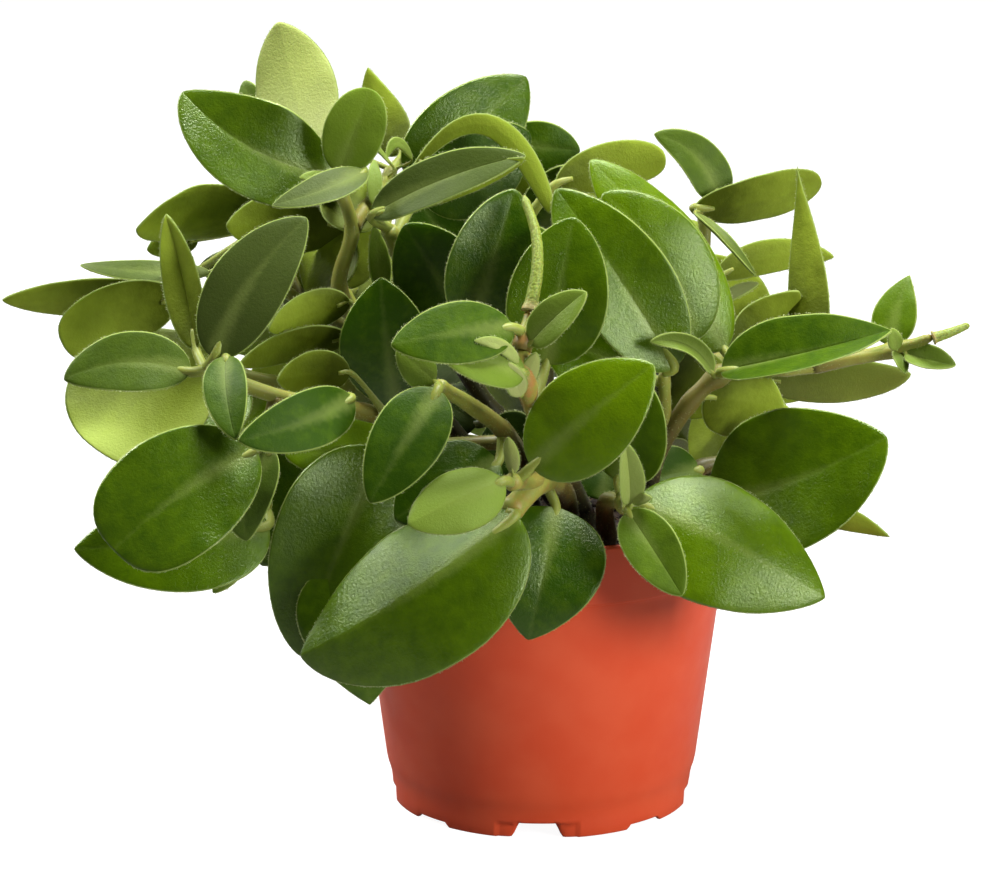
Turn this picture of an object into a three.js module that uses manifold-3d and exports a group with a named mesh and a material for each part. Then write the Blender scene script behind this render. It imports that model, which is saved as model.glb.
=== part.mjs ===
// A potted peperomia: a moulded nursery pot, the compost in it, and fleshy leafy stems that stand in that.
// Millimetres, +Z up. The plant is seen from -Y, and it is worked out from the middle of the pot's foot.
import * as THREE from 'three';
import { mergeVertices } from 'three/addons/utils/BufferGeometryUtils.js';
import Module from 'manifold-3d';

const wasm = await Module();
wasm.setup();

// Driving dimensions.
const POT_HEIGHT = 98;
const RIM_RADIUS = 60;
const RIM_BAND = 19;         // height of the thicker band under the rim
const WALL = 1.4;
const FOOT_RADIUS = 48.2;
const FOOT_HEIGHT = 5;       // how far the deep gaps between the feet reach up
const SHALLOW_HEIGHT = 1.5;  // how far the shallow gaps, which take turns with them, reach up
const FLOOR_TOP = 9.5;
const SOIL_LEVEL = 89;
const BLADE_THICKNESS = 1.5;
const STALK_RADIUS = 1.6;
const SEAT_GAP = 0.3;        // clearance between pieces that touch

// The front of the plant is placed as a viewer sees it: across and down the picture, then how far in front of
// the pot's axis. These say where that viewer stands.
const VIEW = { tilt: 14.5, distance: 1420, pixel: 0.325, middle: [500, 439.5], foot: [541, 789] };
const tilt = THREE.MathUtils.degToRad(VIEW.tilt);
const RIGHT = new THREE.Vector3(1, 0, 0);
const UP = new THREE.Vector3(0, Math.sin(tilt), Math.cos(tilt));
const TOWARD = new THREE.Vector3(0, -Math.cos(tilt), Math.sin(tilt));
const inPicture = (x, y) => new THREE.Vector3()
  .addScaledVector(RIGHT, (x - VIEW.foot[0]) * VIEW.pixel)
  .addScaledVector(UP, (VIEW.foot[1] - y) * VIEW.pixel);
const EYE = inPicture(...VIEW.middle).addScaledVector(TOWARD, VIEW.distance);

// The crown is a dome: what shows higher in the picture leans further back over the pot.
const CROWN_LEAN = { starts: 430, ends: 130, back: 40 };

// The point that shows at (x, y) in the picture, front mm in front of the pot's axis before the lean.
function seen(x, y, front) {
  const height = THREE.MathUtils.clamp((CROWN_LEAN.starts - y) / (CROWN_LEAN.starts - CROWN_LEAN.ends), 0, 1);
  const depth = CROWN_LEAN.back * height - front;
  const ray = inPicture(x, y).sub(EYE);
  return EYE.clone().addScaledVector(ray, (depth - EYE.y) / ray.y);
}

// A leaf runs from its base to its tip, both [x, y, front]. Width is in mm. Turn is how far the upper face is
// turned from the viewer towards the sky, so near 180 the underside shows. Bow lifts the middle of the leaf along
// its upper face and sweep carries it up the picture, both as shares of its length. Cup and fold raise the
// margins, in degrees. Root and point say how narrow the two ends are: the lower, the blunter.
const LEAF_HABIT = { bow: 0.07, sweep: 0, cup: 8, fold: 2, root: 0.52, point: 0.7 };
const leaf = (base, tip, width, turn = 0, habit = {}) =>
  ({ base, tip, width, turn, ...LEAF_HABIT, ...habit });

// A leaf at the side or the back, which the picture doesn't show, is made with fewer faces.
const hidden = (...place) => ({ ...leaf(...place), plain: true });

// Each stem has its course from the compost to its last node, any side shoots, and the leaves at those nodes.
// Slim is the share of its radius that is left at its end, where that isn't the usual one.
const STEMS = {
  front: {
    foot: [8, -22],
    course: [[562, 494, 34], [541, 481, 64], [509, 512, 78]],
    thick: 4.4,
    slim: 0.8,
    shoots: [[[541, 481, 64], [510, 482, 86]]],
    leaves: [
      leaf([532, 467, 84], [654, 365, 95], 31, 14, { cup: -8 }),
      leaf([504, 481, 92], [408, 525, 106], 20.5, 15, { cup: -6, fold: -12 }),
      leaf([513, 474, 88], [508, 437, 90], 5, 160),
      leaf([516, 514, 80], [301, 656, 80], 51, 24,
        { bow: 0.1, sweep: -0.08, cup: -8, fold: -15, point: 0.66 }),
      leaf([556, 508, 64], [528, 640, 80], 36, -6, { bow: 0.12, point: 0.82 }),
    ],
  },
  front_left: {
    foot: [-2, -10],
    course: [[512, 442, 34], [470, 405, 64], [438, 386, 82]],
    thick: 3.6,
    shoots: [[[512, 442, 34], [410, 445, 42]]],
    leaves: [
      leaf([438, 390, 86], [370, 503, 100], 22, 6),
      leaf([434, 382, 83], [396, 350, 92], 12, 20, { cup: -20 }),
      leaf([398, 410, 46], [381, 277, 60], 30, -14, { cup: 20, root: 0.75, point: 0.85 }),
      leaf([385, 450, 38], [300, 656, 56], 45, 12, { cup: 24, fold: 12 }),
      leaf([350, 560, 50], [370, 705, 62], 38, 0, { point: 0.95 }),
      leaf([498, 462, 46], [395, 520, 58], 28, 18),
      leaf([398, 452, 28], [285, 456, 40], 21, 20),
      leaf([350, 302, 52], [268, 330, 62], 14, 150),
      leaf([350, 338, 50], [238, 366, 60], 13, 140),
      leaf([350, 372, 52], [277, 380, 62], 15, 160),
    ],
  },
  centre: {
    foot: [14, -8],
    course: [[556, 452, 40], [528, 392, 84], [521, 350, 92]],
    thick: 3.8,
    shoots: [[[556, 452, 40], [500, 350, 50]], [[521, 350, 92], [527, 330, 92], [530, 312.4, 92]]],
    leaves: [
      leaf([513, 328, 96], [391, 346, 108], 20, 20, { fold: -4 }),
      leaf([524, 373, 92], [442, 357, 106], 15, 22),
      hidden([518, 364, 94], [474, 341, 104], 4.5, 20, { sweep: 0.12 }),
      hidden([520, 396, 88], [508, 362, 97], 7, 10, { cup: 10 }),
      hidden([525, 392, 86], [536, 352, 96], 6, 160),
      leaf([531, 344, 94], [587, 292, 104], 13, 25, { fold: 12 }),
      leaf([472, 326, 66], [515, 189, 78], 28, -4, { cup: 24 }),
      leaf([546, 364, 72], [574, 217, 84], 31, 2, { cup: 14 }),
      leaf([478, 332, 44], [405, 224, 52], 30, -14),
      leaf([540, 410, 46], [610, 440, 30], 24, 10),
      hidden([540, 446, 15], [480, 442, 7], 21, 6),
    ],
  },
  low_right: {
    foot: [20, -24],
    course: [[606, 502, 40], [628, 503, 62]],
    thick: 3.6,
    shoots: [[[606, 502, 40], [702, 495, 22]]],
    leaves: [
      leaf([634, 502, 60], [825, 598, 68], 43, 24,
        { bow: 0.1, sweep: -0.018, cup: -14, fold: -5, point: 0.8 }),
      leaf([628, 512, 76], [682, 596, 90], 17, 5, { fold: 10 }),
      leaf([629, 503, 74], [624, 441, 80], 10, 20, { fold: 30 }),
      hidden([632, 500, 74], [652, 498, 80], 4, 10),
      leaf([708, 503, 27], [887, 437, 48], 47, 16, { sweep: -0.066, cup: 16, fold: 3, point: 0.68 }),
      leaf([800, 512, 2], [890, 537, 8], 9, 150, { sweep: 0.02, point: 0.9 }),
      leaf([618, 480, 58], [650, 386, 74], 24, 10),
      leaf([604, 500, 14], [612, 446, 0], 24, 15),
    ],
  },
  right: {
    foot: [32, -6],
    course: [[666, 437, 40], [722, 374, 52], [812, 366, 42], [897, 349, 46]],
    thick: 3.4,
    shoots: [[[666, 437, 40], [664, 372, 56]], [[812, 366, 42], [897, 350, 47], [930, 337.8, 57]]],
    leaves: [
      leaf([722, 372, 60], [892, 331, 64], 26, 38, { sweep: -0.07, cup: 4, fold: 30, point: 0.85 }),
      leaf([712, 373, 60], [650, 342, 70], 8, 20, { sweep: 0.16, cup: 60, fold: 10 }),
      leaf([674, 368, 58], [556, 189, 70], 31, 12, { cup: 10, fold: 6 }),
      leaf([690, 342, 50], [602, 194, 60], 29, 14, { sweep: 0.1, cup: -10 }),
      leaf([724, 350, 36], [590, 160, 50], 28, 26, { sweep: 0.015, cup: -14 }),
      leaf([632, 374, 48], [542, 330, 56], 30, 20),
      leaf([730, 354, 20], [799, 291, 24], 18, 150, { sweep: -0.07 }),
      leaf([704, 396, 36], [784, 410, 26], 25, 165),
      leaf([756, 379, 20], [911, 374, 36], 16, 155, { sweep: -0.065 }),
      leaf([890, 345, 42], [910, 275, 40], 14, 10, { sweep: 0.03, root: 0.5, point: 1 }),
      hidden([896, 350, 48], [905, 374, 52], 5, 30),
      leaf([906, 354, 50], [956, 365, 54], 10, 25, { sweep: -0.06, fold: 30 }),
      leaf([896, 350, 50], [892, 328, 54], 5, 20),
      leaf([808, 364, 26], [797, 165, 26], 14, 165, { point: 1.3 }),
    ],
  },
  high_right: {
    foot: [30, 12],
    course: [[650, 385, -8], [700, 275, -12], [706, 214, -8]],
    thick: 3.2,
    shoots: [],
    leaves: [
      leaf([718, 198, -6], [654, 134, 0], 15.5, 25, { sweep: 0.13, cup: 14, root: 0.32 }),
      leaf([694, 208, -2], [821, 180, -8], 19, 140, { bow: -0.02, sweep: -0.045, point: 0.42 }),
      leaf([695, 213, 4], [757, 277, 8], 6, 60, { sweep: -0.08, cup: 50 }),
      leaf([716, 276, -22], [834, 257, -28], 12, 160, { sweep: 0.065 }),
      hidden([720, 302, -16], [759, 283, -20], 5, 30),
      hidden([690, 302, -12], [618, 262, -14], 30, 155),
      hidden([668, 348, -10], [598, 340, -26], 30, 155),
      hidden([698, 262, -10], [664, 224, -26], 18, 165),
      hidden([656, 380, -6], [738, 402, -24], 26, 160),
    ],
  },
  top: {
    foot: [6, 8],
    course: [[474, 385, 8], [408, 278, 36], [388, 228, 48]],
    thick: 3.4,
    shoots: [[[474, 385, 8], [520, 230, 0]]],
    leaves: [
      leaf([372, 216, 60], [526, 156, 72], 17, 30, { sweep: 0.01, cup: 12, fold: 10 }),
      hidden([378, 214, 62], [525, 158, 74], 9, 150, { sweep: -0.055, root: 0.8 }),
      leaf([394, 200, 46], [552, 214, 44], 7.5, 170, { sweep: 0.52, root: 0.9, point: 0.4 }),
      leaf([420, 196, 30], [530, 134, 22], 30, -24),
      leaf([412, 186, 16], [526, 77, 2], 31, 2, { sweep: -0.015, root: 0.44, point: 0.72 }),
      leaf([382, 292, 44], [374, 226, 54], 7, 10),
      leaf([474, 392, -14], [428, 340, -36], 26, 12),
      leaf([500, 330, 0], [440, 270, -14], 30, 10),
      hidden([478, 424, 0], [436, 398, -4], 22, 10),
      hidden([508, 270, 4], [566, 262, 14], 26, 25),
      hidden([515, 240, 4], [470, 205, -4], 22, 165),
      leaf([556, 184, 8], [666, 160, 4], 16, 165, { sweep: 0.03, point: 0.42 }),
      leaf([504, 146, -10], [580, 151, -14], 17, 0, { sweep: 0.02 }),
      hidden([462, 268, 12], [412, 188, 16], 26, 5),
    ],
  },
  upper_left: {
    foot: [-8, 6],
    course: [[430, 402, 14], [340, 292, 38], [352, 228, 48], [335, 178, 54]],
    thick: 3.4,
    shoots: [[[352, 228, 48], [392, 170, 20]]],
    leaves: [
      leaf([306, 150, 30], [278, 22, 8], 27.5, 165, { sweep: -0.005, root: 0.6 }),
      leaf([332, 176, 52], [182, 92, 58], 32, 14, { sweep: -0.11, cup: 12, fold: 8 }),
      leaf([339, 173, 60], [371, 89, 64], 19, 5, { point: 0.5 }),
      leaf([365, 171, 64], [272, 206, 76], 12, 36, { sweep: -0.09, cup: 10, fold: 6 }),
      leaf([332, 180, 60], [299, 178, 66], 5, 30),
      leaf([403, 152, 12], [368, 67, 0], 15, 165, { sweep: -0.08, point: 0.9 }),
      leaf([394, 168, 30], [369, 176, 44], 4, 20, { sweep: 0.9 }),
      leaf([412, 160, 24], [386, 160, 30], 4, 20, { sweep: 0.55 }),
      leaf([374, 206, 42], [374, 160, 38], 5, 10),
      leaf([258, 112, -4], [244, 81, -10], 8, -20),
      leaf([346, 224, 24], [226, 226, 34], 22, 160),
      hidden([342, 290, 36], [300, 232, 12], 24, 160),
      hidden([336, 190, 46], [296, 140, 24], 22, 165),
      hidden([350, 232, 46], [356, 158, 34], 20, 172),
    ],
  },
  left_high: {
    foot: [-20, 16],
    course: [[420, 385, -6], [300, 300, 14], [262, 280, 20]],
    thick: 3.2,
    shoots: [[[300, 300, 14], [268, 225, 12]]],
    leaves: [
      leaf([262, 212, 16], [136, 230, 28], 24, 138, { sweep: -0.05, cup: 30 }),
      leaf([198, 240, -10], [147, 250, -6], 11, 150),
      leaf([210, 272, 2], [80, 265, 0], 9, 40, { sweep: -0.09 }),
      hidden([268, 274, -2], [200, 266, -10], 14, 20),
      leaf([160, 292, -18], [2, 300, -14], 14, 150, { bow: 0.01, sweep: -0.025 }),
      leaf([180, 298, 42], [62, 343, 48], 23, 160, { sweep: 0.03, cup: -30, point: 0.36 }),
      leaf([135, 330, 34], [152, 468, 56], 50, 170, { cup: -24 }),
      leaf([298, 306, 6], [222, 345, -14], 30, 165),
    ],
  },
  left: {
    foot: [-15, -6],
    course: [[400, 425, 32], [276, 396, 70], [205, 370, 77]],
    thick: 3.6,
    shoots: [[[276, 396, 70], [268, 440, 66], [266, 510, 58]]],
    leaves: [
      leaf([214, 358, 82], [307, 218, 88], 24, 14, { sweep: 0.05, cup: 6 }),
      leaf([190, 372, 80], [64, 380, 82], 20, 24, { sweep: 0.08, fold: 3 }),
      leaf([196, 350, 72], [166, 214, 74], 14, 160, { fold: -30 }),
      leaf([226, 357, 84], [236, 440, 96], 14, -8, { sweep: -0.03, fold: 10 }),
      leaf([352, 398, 78], [238, 441, 98], 18, 6, { sweep: -0.05 }),
      leaf([256, 450, 86], [114, 551, 104], 39, 14, { sweep: 0.03, root: 0.5, point: 0.36 }),
      leaf([268, 525, 66], [74, 549, 78], 33, 12, { sweep: -0.045, point: 0.8 }),
      leaf([246, 556, 56], [213, 593, 60], 7, 10),
      leaf([272, 448, 82], [247, 541, 88], 17, 5, { sweep: 0.12, cup: 30 }),
    ],
  },
  side_left: {
    foot: [-33, 16],
    course: [[400, 446, -12], [300, 392, -4], [232, 372, 0]],
    thick: 3.2,
    shoots: [],
    leaves: [
      hidden([236, 374, 0], [130, 420, -8], 30, 160),
      hidden([232, 374, 6], [160, 470, 28], 30, 20),
      hidden([268, 384, -4], [186, 520, 6], 32, 20),
      hidden([300, 394, -8], [250, 500, -34], 32, 155),
      hidden([330, 406, -12], [330, 500, -46], 32, 160),
      hidden([345, 412, -4], [262, 566, 14], 34, 20),
    ],
  },
  side_right: {
    foot: [45, 10],
    course: [[696, 470, -8], [742, 460, -12], [790, 455, -12]],
    thick: 3.0,
    shoots: [],
    leaves: [
      hidden([790, 455, -12], [868, 452, -20], 24, 160),
      hidden([764, 458, -14], [804, 514, -26], 24, 160),
      hidden([752, 460, -8], [782, 556, 0], 26, 20),
      hidden([732, 462, -14], [752, 552, -42], 26, 160),
      hidden([770, 457, -14], [748, 395, -26], 24, 170),
      hidden([732, 462, -16], [700, 402, -34], 26, 165),
      hidden([700, 470, -6], [634, 486, 2], 20, 20),
    ],
  },
  back_left: {
    foot: [-22, 34],
    course: [[460, 440, -46], [392, 360, -52], [340, 290, -44]],
    thick: 3.6,
    shoots: [],
    leaves: [
      hidden([440, 424, -54], [335, 520, -84], 36, 160),
      hidden([450, 436, -52], [440, 535, -92], 34, 165),
      hidden([400, 380, -54], [292, 450, -80], 34, 165),
      hidden([384, 352, -54], [240, 400, -62], 30, 160),
      hidden([394, 362, -56], [425, 305, -86], 30, 170),
      hidden([356, 312, -50], [218, 310, -48], 28, 165),
      hidden([340, 290, -44], [262, 232, -38], 26, 170),
      hidden([342, 290, -44], [348, 205, -34], 24, 175),
      hidden([346, 296, -48], [420, 236, -58], 28, 170),
    ],
  },
  back_middle: {
    foot: [8, 28],
    course: [[545, 430, -40], [548, 330, -40], [546, 255, -30], [545, 218, -22]],
    thick: 3.6,
    shoots: [],
    leaves: [
      hidden([545, 430, -44], [545, 522, -96], 34, 160, { cup: 20, fold: 8 }),
      hidden([545, 400, -48], [460, 425, -88], 34, 160),
      hidden([548, 404, -46], [635, 425, -88], 36, 160),
      hidden([548, 335, -44], [470, 335, -86], 32, 165),
      hidden([550, 335, -44], [625, 340, -86], 32, 165),
      hidden([546, 260, -34], [462, 240, -54], 28, 168),
      hidden([548, 260, -34], [636, 245, -58], 28, 168),
      hidden([545, 220, -22], [505, 150, -16], 26, 172),
      hidden([548, 218, -22], [608, 178, -28], 24, 170),
      hidden([546, 236, -24], [566, 165, 4], 20, 10),
    ],
  },
  back_right: {
    foot: [34, 32],
    course: [[650, 430, -44], [714, 366, -48], [770, 330, -44]],
    thick: 3.6,
    shoots: [],
    leaves: [
      hidden([655, 440, -46], [642, 522, -86], 30, 160),
      hidden([662, 424, -48], [740, 505, -82], 36, 160),
      hidden([690, 392, -50], [790, 460, -78], 34, 160),
      hidden([680, 402, -50], [655, 335, -84], 30, 168),
      hidden([718, 364, -50], [820, 390, -72], 26, 160),
      hidden([712, 366, -52], [692, 280, -68], 30, 170),
      hidden([768, 330, -44], [862, 366, -62], 22, 165),
      hidden([750, 342, -46], [704, 255, -48], 26, 172),
      hidden([770, 330, -44], [856, 340, -44], 12, 168),
    ],
  },
};

const DEG = Math.PI / 180;
const LIFT = UP.clone().addScaledVector(RIGHT, 0.01);   // which way is up the picture, with no tie

// The leaf's two ends and the directions of its chord, its side and its upper face.
function leafFrame({ base, tip, turn }) {
  const from = seen(...base);
  const to = seen(...tip);
  const along = to.clone().sub(from).normalize();
  const face = EYE.clone().sub(from);
  face.addScaledVector(along, -face.dot(along)).normalize();
  const aside = along.clone().cross(face);
  if (aside.dot(LIFT) < 0) aside.negate();
  const upper = face.multiplyScalar(Math.cos(turn * DEG)).addScaledVector(aside, Math.sin(turn * DEG));
  return { from, to, along, upper, side: along.clone().cross(upper), length: from.distanceTo(to) };
}

// Half the width at t, as a share of half the greatest width.
function outline(t, root, point) {
  const widest = root / (root + point);
  return (t / widest) ** root * ((1 - t) / (1 - widest)) ** point;
}

// The point at t along the leaf and u across it, from -1 at one margin to 1 at the other, raised by lift mm.
function bladePoint(spec, frame, t, u, lift) {
  const { bow, sweep, cup, fold, width, root, point } = spec;
  const up = frame.side.dot(LIFT) < 0 ? -1 : 1;
  const arch = 4 * t * (1 - t) * frame.length;
  const slope = 4 * (1 - 2 * t);
  const middle = frame.from.clone().lerp(frame.to, t)
    .addScaledVector(frame.upper, bow * arch).addScaledVector(frame.side, up * sweep * arch);
  const ahead = frame.along.clone()
    .addScaledVector(frame.upper, bow * slope).addScaledVector(frame.side, up * sweep * slope).normalize();
  const side = ahead.clone().cross(frame.upper).normalize();
  const upper = side.clone().cross(ahead);
  const half = width / 2;
  const arc = Math.abs(u) * half * outline(t, root, point);
  const curl = (cup || 0.01) * DEG * arc / half;
  const radius = half / ((cup || 0.01) * DEG);
  const flat = radius * Math.sin(curl);
  const rise = radius * (1 - Math.cos(curl));
  const lean = fold * DEG;
  const across = flat * Math.cos(lean) - rise * Math.sin(lean);
  const above = flat * Math.sin(lean) + rise * Math.cos(lean);
  const sign = Math.sign(u);
  return middle.addScaledVector(side, sign * across - sign * Math.sin(curl + lean) * lift)
    .addScaledVector(upper, above + Math.cos(curl + lean) * lift);
}

function solidFrom(points, faces) {
  const mesh = new wasm.Mesh({
    numProp: 3,
    vertProperties: new Float32Array(points.flatMap(p => p.toArray())),
    triVerts: new Uint32Array(faces.flat()),
  });
  return new wasm.Manifold(mesh);
}

// A closed body from rings of equal count that run along it, each end closed onto its own middle point.
function loft(rings, first, last) {
  const count = rings[0].length;
  const points = [first, ...rings.flat(), last];
  const at = (ring, k) => 1 + ring * count + (k % count);
  const faces = [];
  for (let k = 0; k < count; k++) {
    faces.push([0, at(0, k + 1), at(0, k)]);
    for (let ring = 0; ring + 1 < rings.length; ring++) {
      faces.push([at(ring, k), at(ring, k + 1), at(ring + 1, k + 1)]);
      faces.push([at(ring, k), at(ring + 1, k + 1), at(ring + 1, k)]);
    }
    faces.push([points.length - 1, at(rings.length - 1, k), at(rings.length - 1, k + 1)]);
  }
  const solid = solidFrom(points, faces);
  return solid.volume() > 0 ? solid : solidFrom(points, faces.map(f => f.toReversed()));
}

// The blade: a lens across, thickest at the midrib, with the same columns on both faces.
const SMALL_LEAF = 17;
const LARGE_LEAF = 27;
const SMALL_THICKNESS = 0.8;   // a small leaf's share of the usual thickness
const FEW_STATIONS = [0.07, 0.3, 0.6, 0.85];
const ALL_STATIONS = [0.045, 0.19, 0.41, 0.65, 0.86];
function blade(spec) {
  const frame = leafFrame(spec);
  const small = spec.plain || spec.width < SMALL_LEAF;
  const columns = small ? [-1, 0, 1] : [-1, -0.5, 0, 0.5, 1];
  const stations = spec.plain || spec.width < LARGE_LEAF ? FEW_STATIONS : ALL_STATIONS;
  const half = (t, u) => BLADE_THICKNESS / 2 * (1 - u * u) * (spec.width < SMALL_LEAF ? SMALL_THICKNESS : 1);
  const rings = stations.map(t => [
    ...columns.map(u => bladePoint(spec, frame, t, u, half(t, u))),
    ...columns.slice(1, -1).reverse().map(u => bladePoint(spec, frame, t, u, -half(t, u))),
  ]);
  return loft(rings, bladePoint(spec, frame, 0, 0, 0), bladePoint(spec, frame, 1, 0, 0));
}

// A round stalk through the given points, narrowing from one radius to another.
function tube(spine, startRadius, endRadius, sides) {
  const ahead = spine.map((p, i) => spine[Math.min(i + 1, spine.length - 1)].clone()
    .sub(spine[Math.max(i - 1, 0)]).normalize());
  let across = new THREE.Vector3(1, 0, 0).cross(ahead[0]).normalize();
  const rings = spine.map((p, i) => {
    across = across.addScaledVector(ahead[i], -across.dot(ahead[i])).normalize();
    const other = ahead[i].clone().cross(across);
    const radius = startRadius + (endRadius - startRadius) * i / (spine.length - 1);
    const turns = Array.from({ length: sides }, (_, k) => 2 * Math.PI * k / sides);
    return turns.map(a => p.clone().addScaledVector(across, radius * Math.cos(a))
      .addScaledVector(other, radius * Math.sin(a)));
  });
  return loft(rings, spine[0], spine[spine.length - 1]);
}

// The stem's middle line: straight up out of its hole, then smoothly through its course.
const HOLE_DEPTH = 14;
const STRAIGHT_ABOVE = 4;
const COURSE_STEPS = 2;
function stemSpine({ foot, course }) {
  const bottom = new THREE.Vector3(...foot, SOIL_LEVEL - HOLE_DEPTH);
  const top = new THREE.Vector3(...foot, SOIL_LEVEL + STRAIGHT_ABOVE);
  return [bottom, ...smooth([top, ...course.map(p => seen(...p))])];
}

function smooth(knots) {
  const curve = new THREE.CatmullRomCurve3(knots);
  return curve.getPoints(COURSE_STEPS * (knots.length - 1));
}

// The stalk of a leaf starts inside the nearest point of the stems and ends inside the base of the blade.
const STALK = { sunk: 0.1, under: -0.3, share: 0.1, shortest: 2, taper: 0.6, sides: 4 };
function stalk(spec, spines) {
  const frame = leafFrame(spec);
  const into = bladePoint(spec, frame, STALK.sunk, 0, STALK.under);
  const start = spines.flat().reduce((a, b) => (a.distanceTo(frame.from) < b.distanceTo(frame.from) ? a : b));
  const radius = Math.min(STALK_RADIUS, STALK.share * spec.width);
  const spine = start.distanceTo(frame.from) < STALK.shortest ? [start, into] : [start, frame.from, into];
  return tube(spine, radius, radius * STALK.taper, STALK.sides);
}

// One body: where leaves meet, slivers that come loose are left out and needless small faces are merged.
const SMOOTHING = 0.16;
const STEM_SIDES = 6;
const USUAL_SLIM = 0.6;
const SHOOT = { starts: 0.7, ends: 0.45 };   // shares of the stem's radius
function leafyStem(spec) {
  const trunk = stemSpine(spec);
  const shoots = spec.shoots.map(points => smooth(points.map(p => seen(...p))));
  const wood = [
    tube(trunk, spec.thick, spec.thick * (spec.slim ?? USUAL_SLIM), STEM_SIDES),
    ...shoots.map(spine => tube(spine, spec.thick * SHOOT.starts, spec.thick * SHOOT.ends, STEM_SIDES)),
  ];
  const above = trunk.slice(2);
  const foliage = spec.leaves.flatMap(each => [blade(each), stalk(each, [above, ...shoots])]);
  const bodies = wasm.Manifold.union([...wood, ...foliage]).decompose();
  const whole = bodies.reduce((a, b) => (a.volume() > b.volume() ? a : b));
  return whole.asOriginal().simplify(SMOOTHING);
}

// The pot: a tapered wall with a thicker band under the rim, on eight feet, its floor raised between them.
const WALL_SLOPE = 0.13;
const BAND_STEP = 1.1;
const FLOOR = 1.8;
const FEET = 8;
const FEET_ROTATION = -92;   // degrees: one gap between feet nearly faces the viewer
const wallAt = z => FOOT_RADIUS + WALL_SLOPE * z;

function turned(profile, segments) {
  const geometry = new THREE.LatheGeometry(profile.map(([r, z]) => new THREE.Vector2(r, z)), segments);
  return fromGeometry(geometry.rotateX(Math.PI / 2));
}

function fromGeometry(geometry) {
  const plain = new THREE.BufferGeometry().setAttribute('position', geometry.getAttribute('position'));
  const merged = mergeVertices(plain.setIndex(geometry.index), 1e-4);
  const vertProperties = new Float32Array(merged.attributes.position.array);
  const triVerts = merged.index.array;
  const solid = new wasm.Manifold(new wasm.Mesh({ numProp: 3, vertProperties, triVerts }));
  if (solid.volume() > 0) return solid;
  const flipped = Uint32Array.from(triVerts).reverse();
  return new wasm.Manifold(new wasm.Mesh({ numProp: 3, vertProperties, triVerts: flipped }));
}

// What is cut away between two feet: from half the width at the bottom to half the width at the top.
const DEEP_GAP = [8.7, 5.3];
const SHALLOW_GAP = [7.2, 6.2];
const GAP_CUT = { below: 1, depth: 12 };
function gapCutter([wide, narrow], height) {
  const rightHalf = [[wide, -GAP_CUT.below], [wide, 0], [narrow, height]];
  const corners = [...rightHalf, ...rightHalf.toReversed().map(([x, z]) => [-x, z])];
  const outline = new THREE.Shape(corners.map(p => new THREE.Vector2(...p)));
  return new THREE.ExtrudeGeometry(outline, { depth: GAP_CUT.depth, bevelEnabled: false })
    .rotateX(Math.PI / 2).translate(0, -FOOT_RADIUS + GAP_CUT.depth / 2, 0);
}

const POT_SEGMENTS = 48;
const FOOT_LEAN = 3;           // how far the foot's inner face has come in where it meets the floor
const FOOT_FLAT = [1.9, 0.2];  // from the foot's outer face to the two edges of what it stands on
const RIM_WIDTH = 2.1;
const RIM_ROUND = 1;
const BEVEL = 0.3;
const DRAIN = { radius: 4, inset: 10, height: 6, sides: 12 };
function pot() {
  const bandFoot = POT_HEIGHT - RIM_BAND;
  const foot = [
    [0, FLOOR_TOP - FLOOR],
    [FOOT_RADIUS - FOOT_LEAN, FLOOR_TOP - FLOOR],
    [FOOT_RADIUS - FOOT_FLAT[0], 0],
    [FOOT_RADIUS - FOOT_FLAT[1], 0],
    [FOOT_RADIUS + BEVEL, FLOOR_TOP - 2 * BEVEL],
  ];
  const wall = [
    [wallAt(FLOOR_TOP), FLOOR_TOP + BEVEL],
    [wallAt(bandFoot), bandFoot],
    [wallAt(bandFoot) + BAND_STEP, bandFoot + 2 * BEVEL],
  ];
  const rim = [
    [RIM_RADIUS, POT_HEIGHT - RIM_ROUND],
    [RIM_RADIUS - BEVEL, POT_HEIGHT - BEVEL],
    [RIM_RADIUS - RIM_WIDTH / 2, POT_HEIGHT],
    [RIM_RADIUS - RIM_WIDTH + BEVEL, POT_HEIGHT - BEVEL],
    [RIM_RADIUS - RIM_WIDTH, POT_HEIGHT - RIM_ROUND],
  ];
  const inside = [[wallAt(bandFoot) - WALL, bandFoot], [wallAt(FLOOR_TOP) - WALL, FLOOR_TOP], [0, FLOOR_TOP]];
  const shell = turned([...foot, ...wall, ...rim, ...inside], POT_SEGMENTS);
  const deep = gapCutter(DEEP_GAP, FOOT_HEIGHT);
  const shallow = gapCutter(SHALLOW_GAP, SHALLOW_HEIGHT);
  const drain = new THREE.CylinderGeometry(DRAIN.radius, DRAIN.radius, DRAIN.height, DRAIN.sides)
    .rotateX(Math.PI / 2).translate(0, DRAIN.inset - FOOT_RADIUS, FLOOR_TOP);
  const cuts = Array.from({ length: FEET }, (_, k) => [k % 2 ? shallow : deep, drain]
    .map(shape => fromGeometry(shape.clone().rotateZ((FEET_ROTATION + 90 + k * 360 / FEET) * DEG)))).flat();
  return shell.subtract(wasm.Manifold.union(cuts));
}

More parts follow.
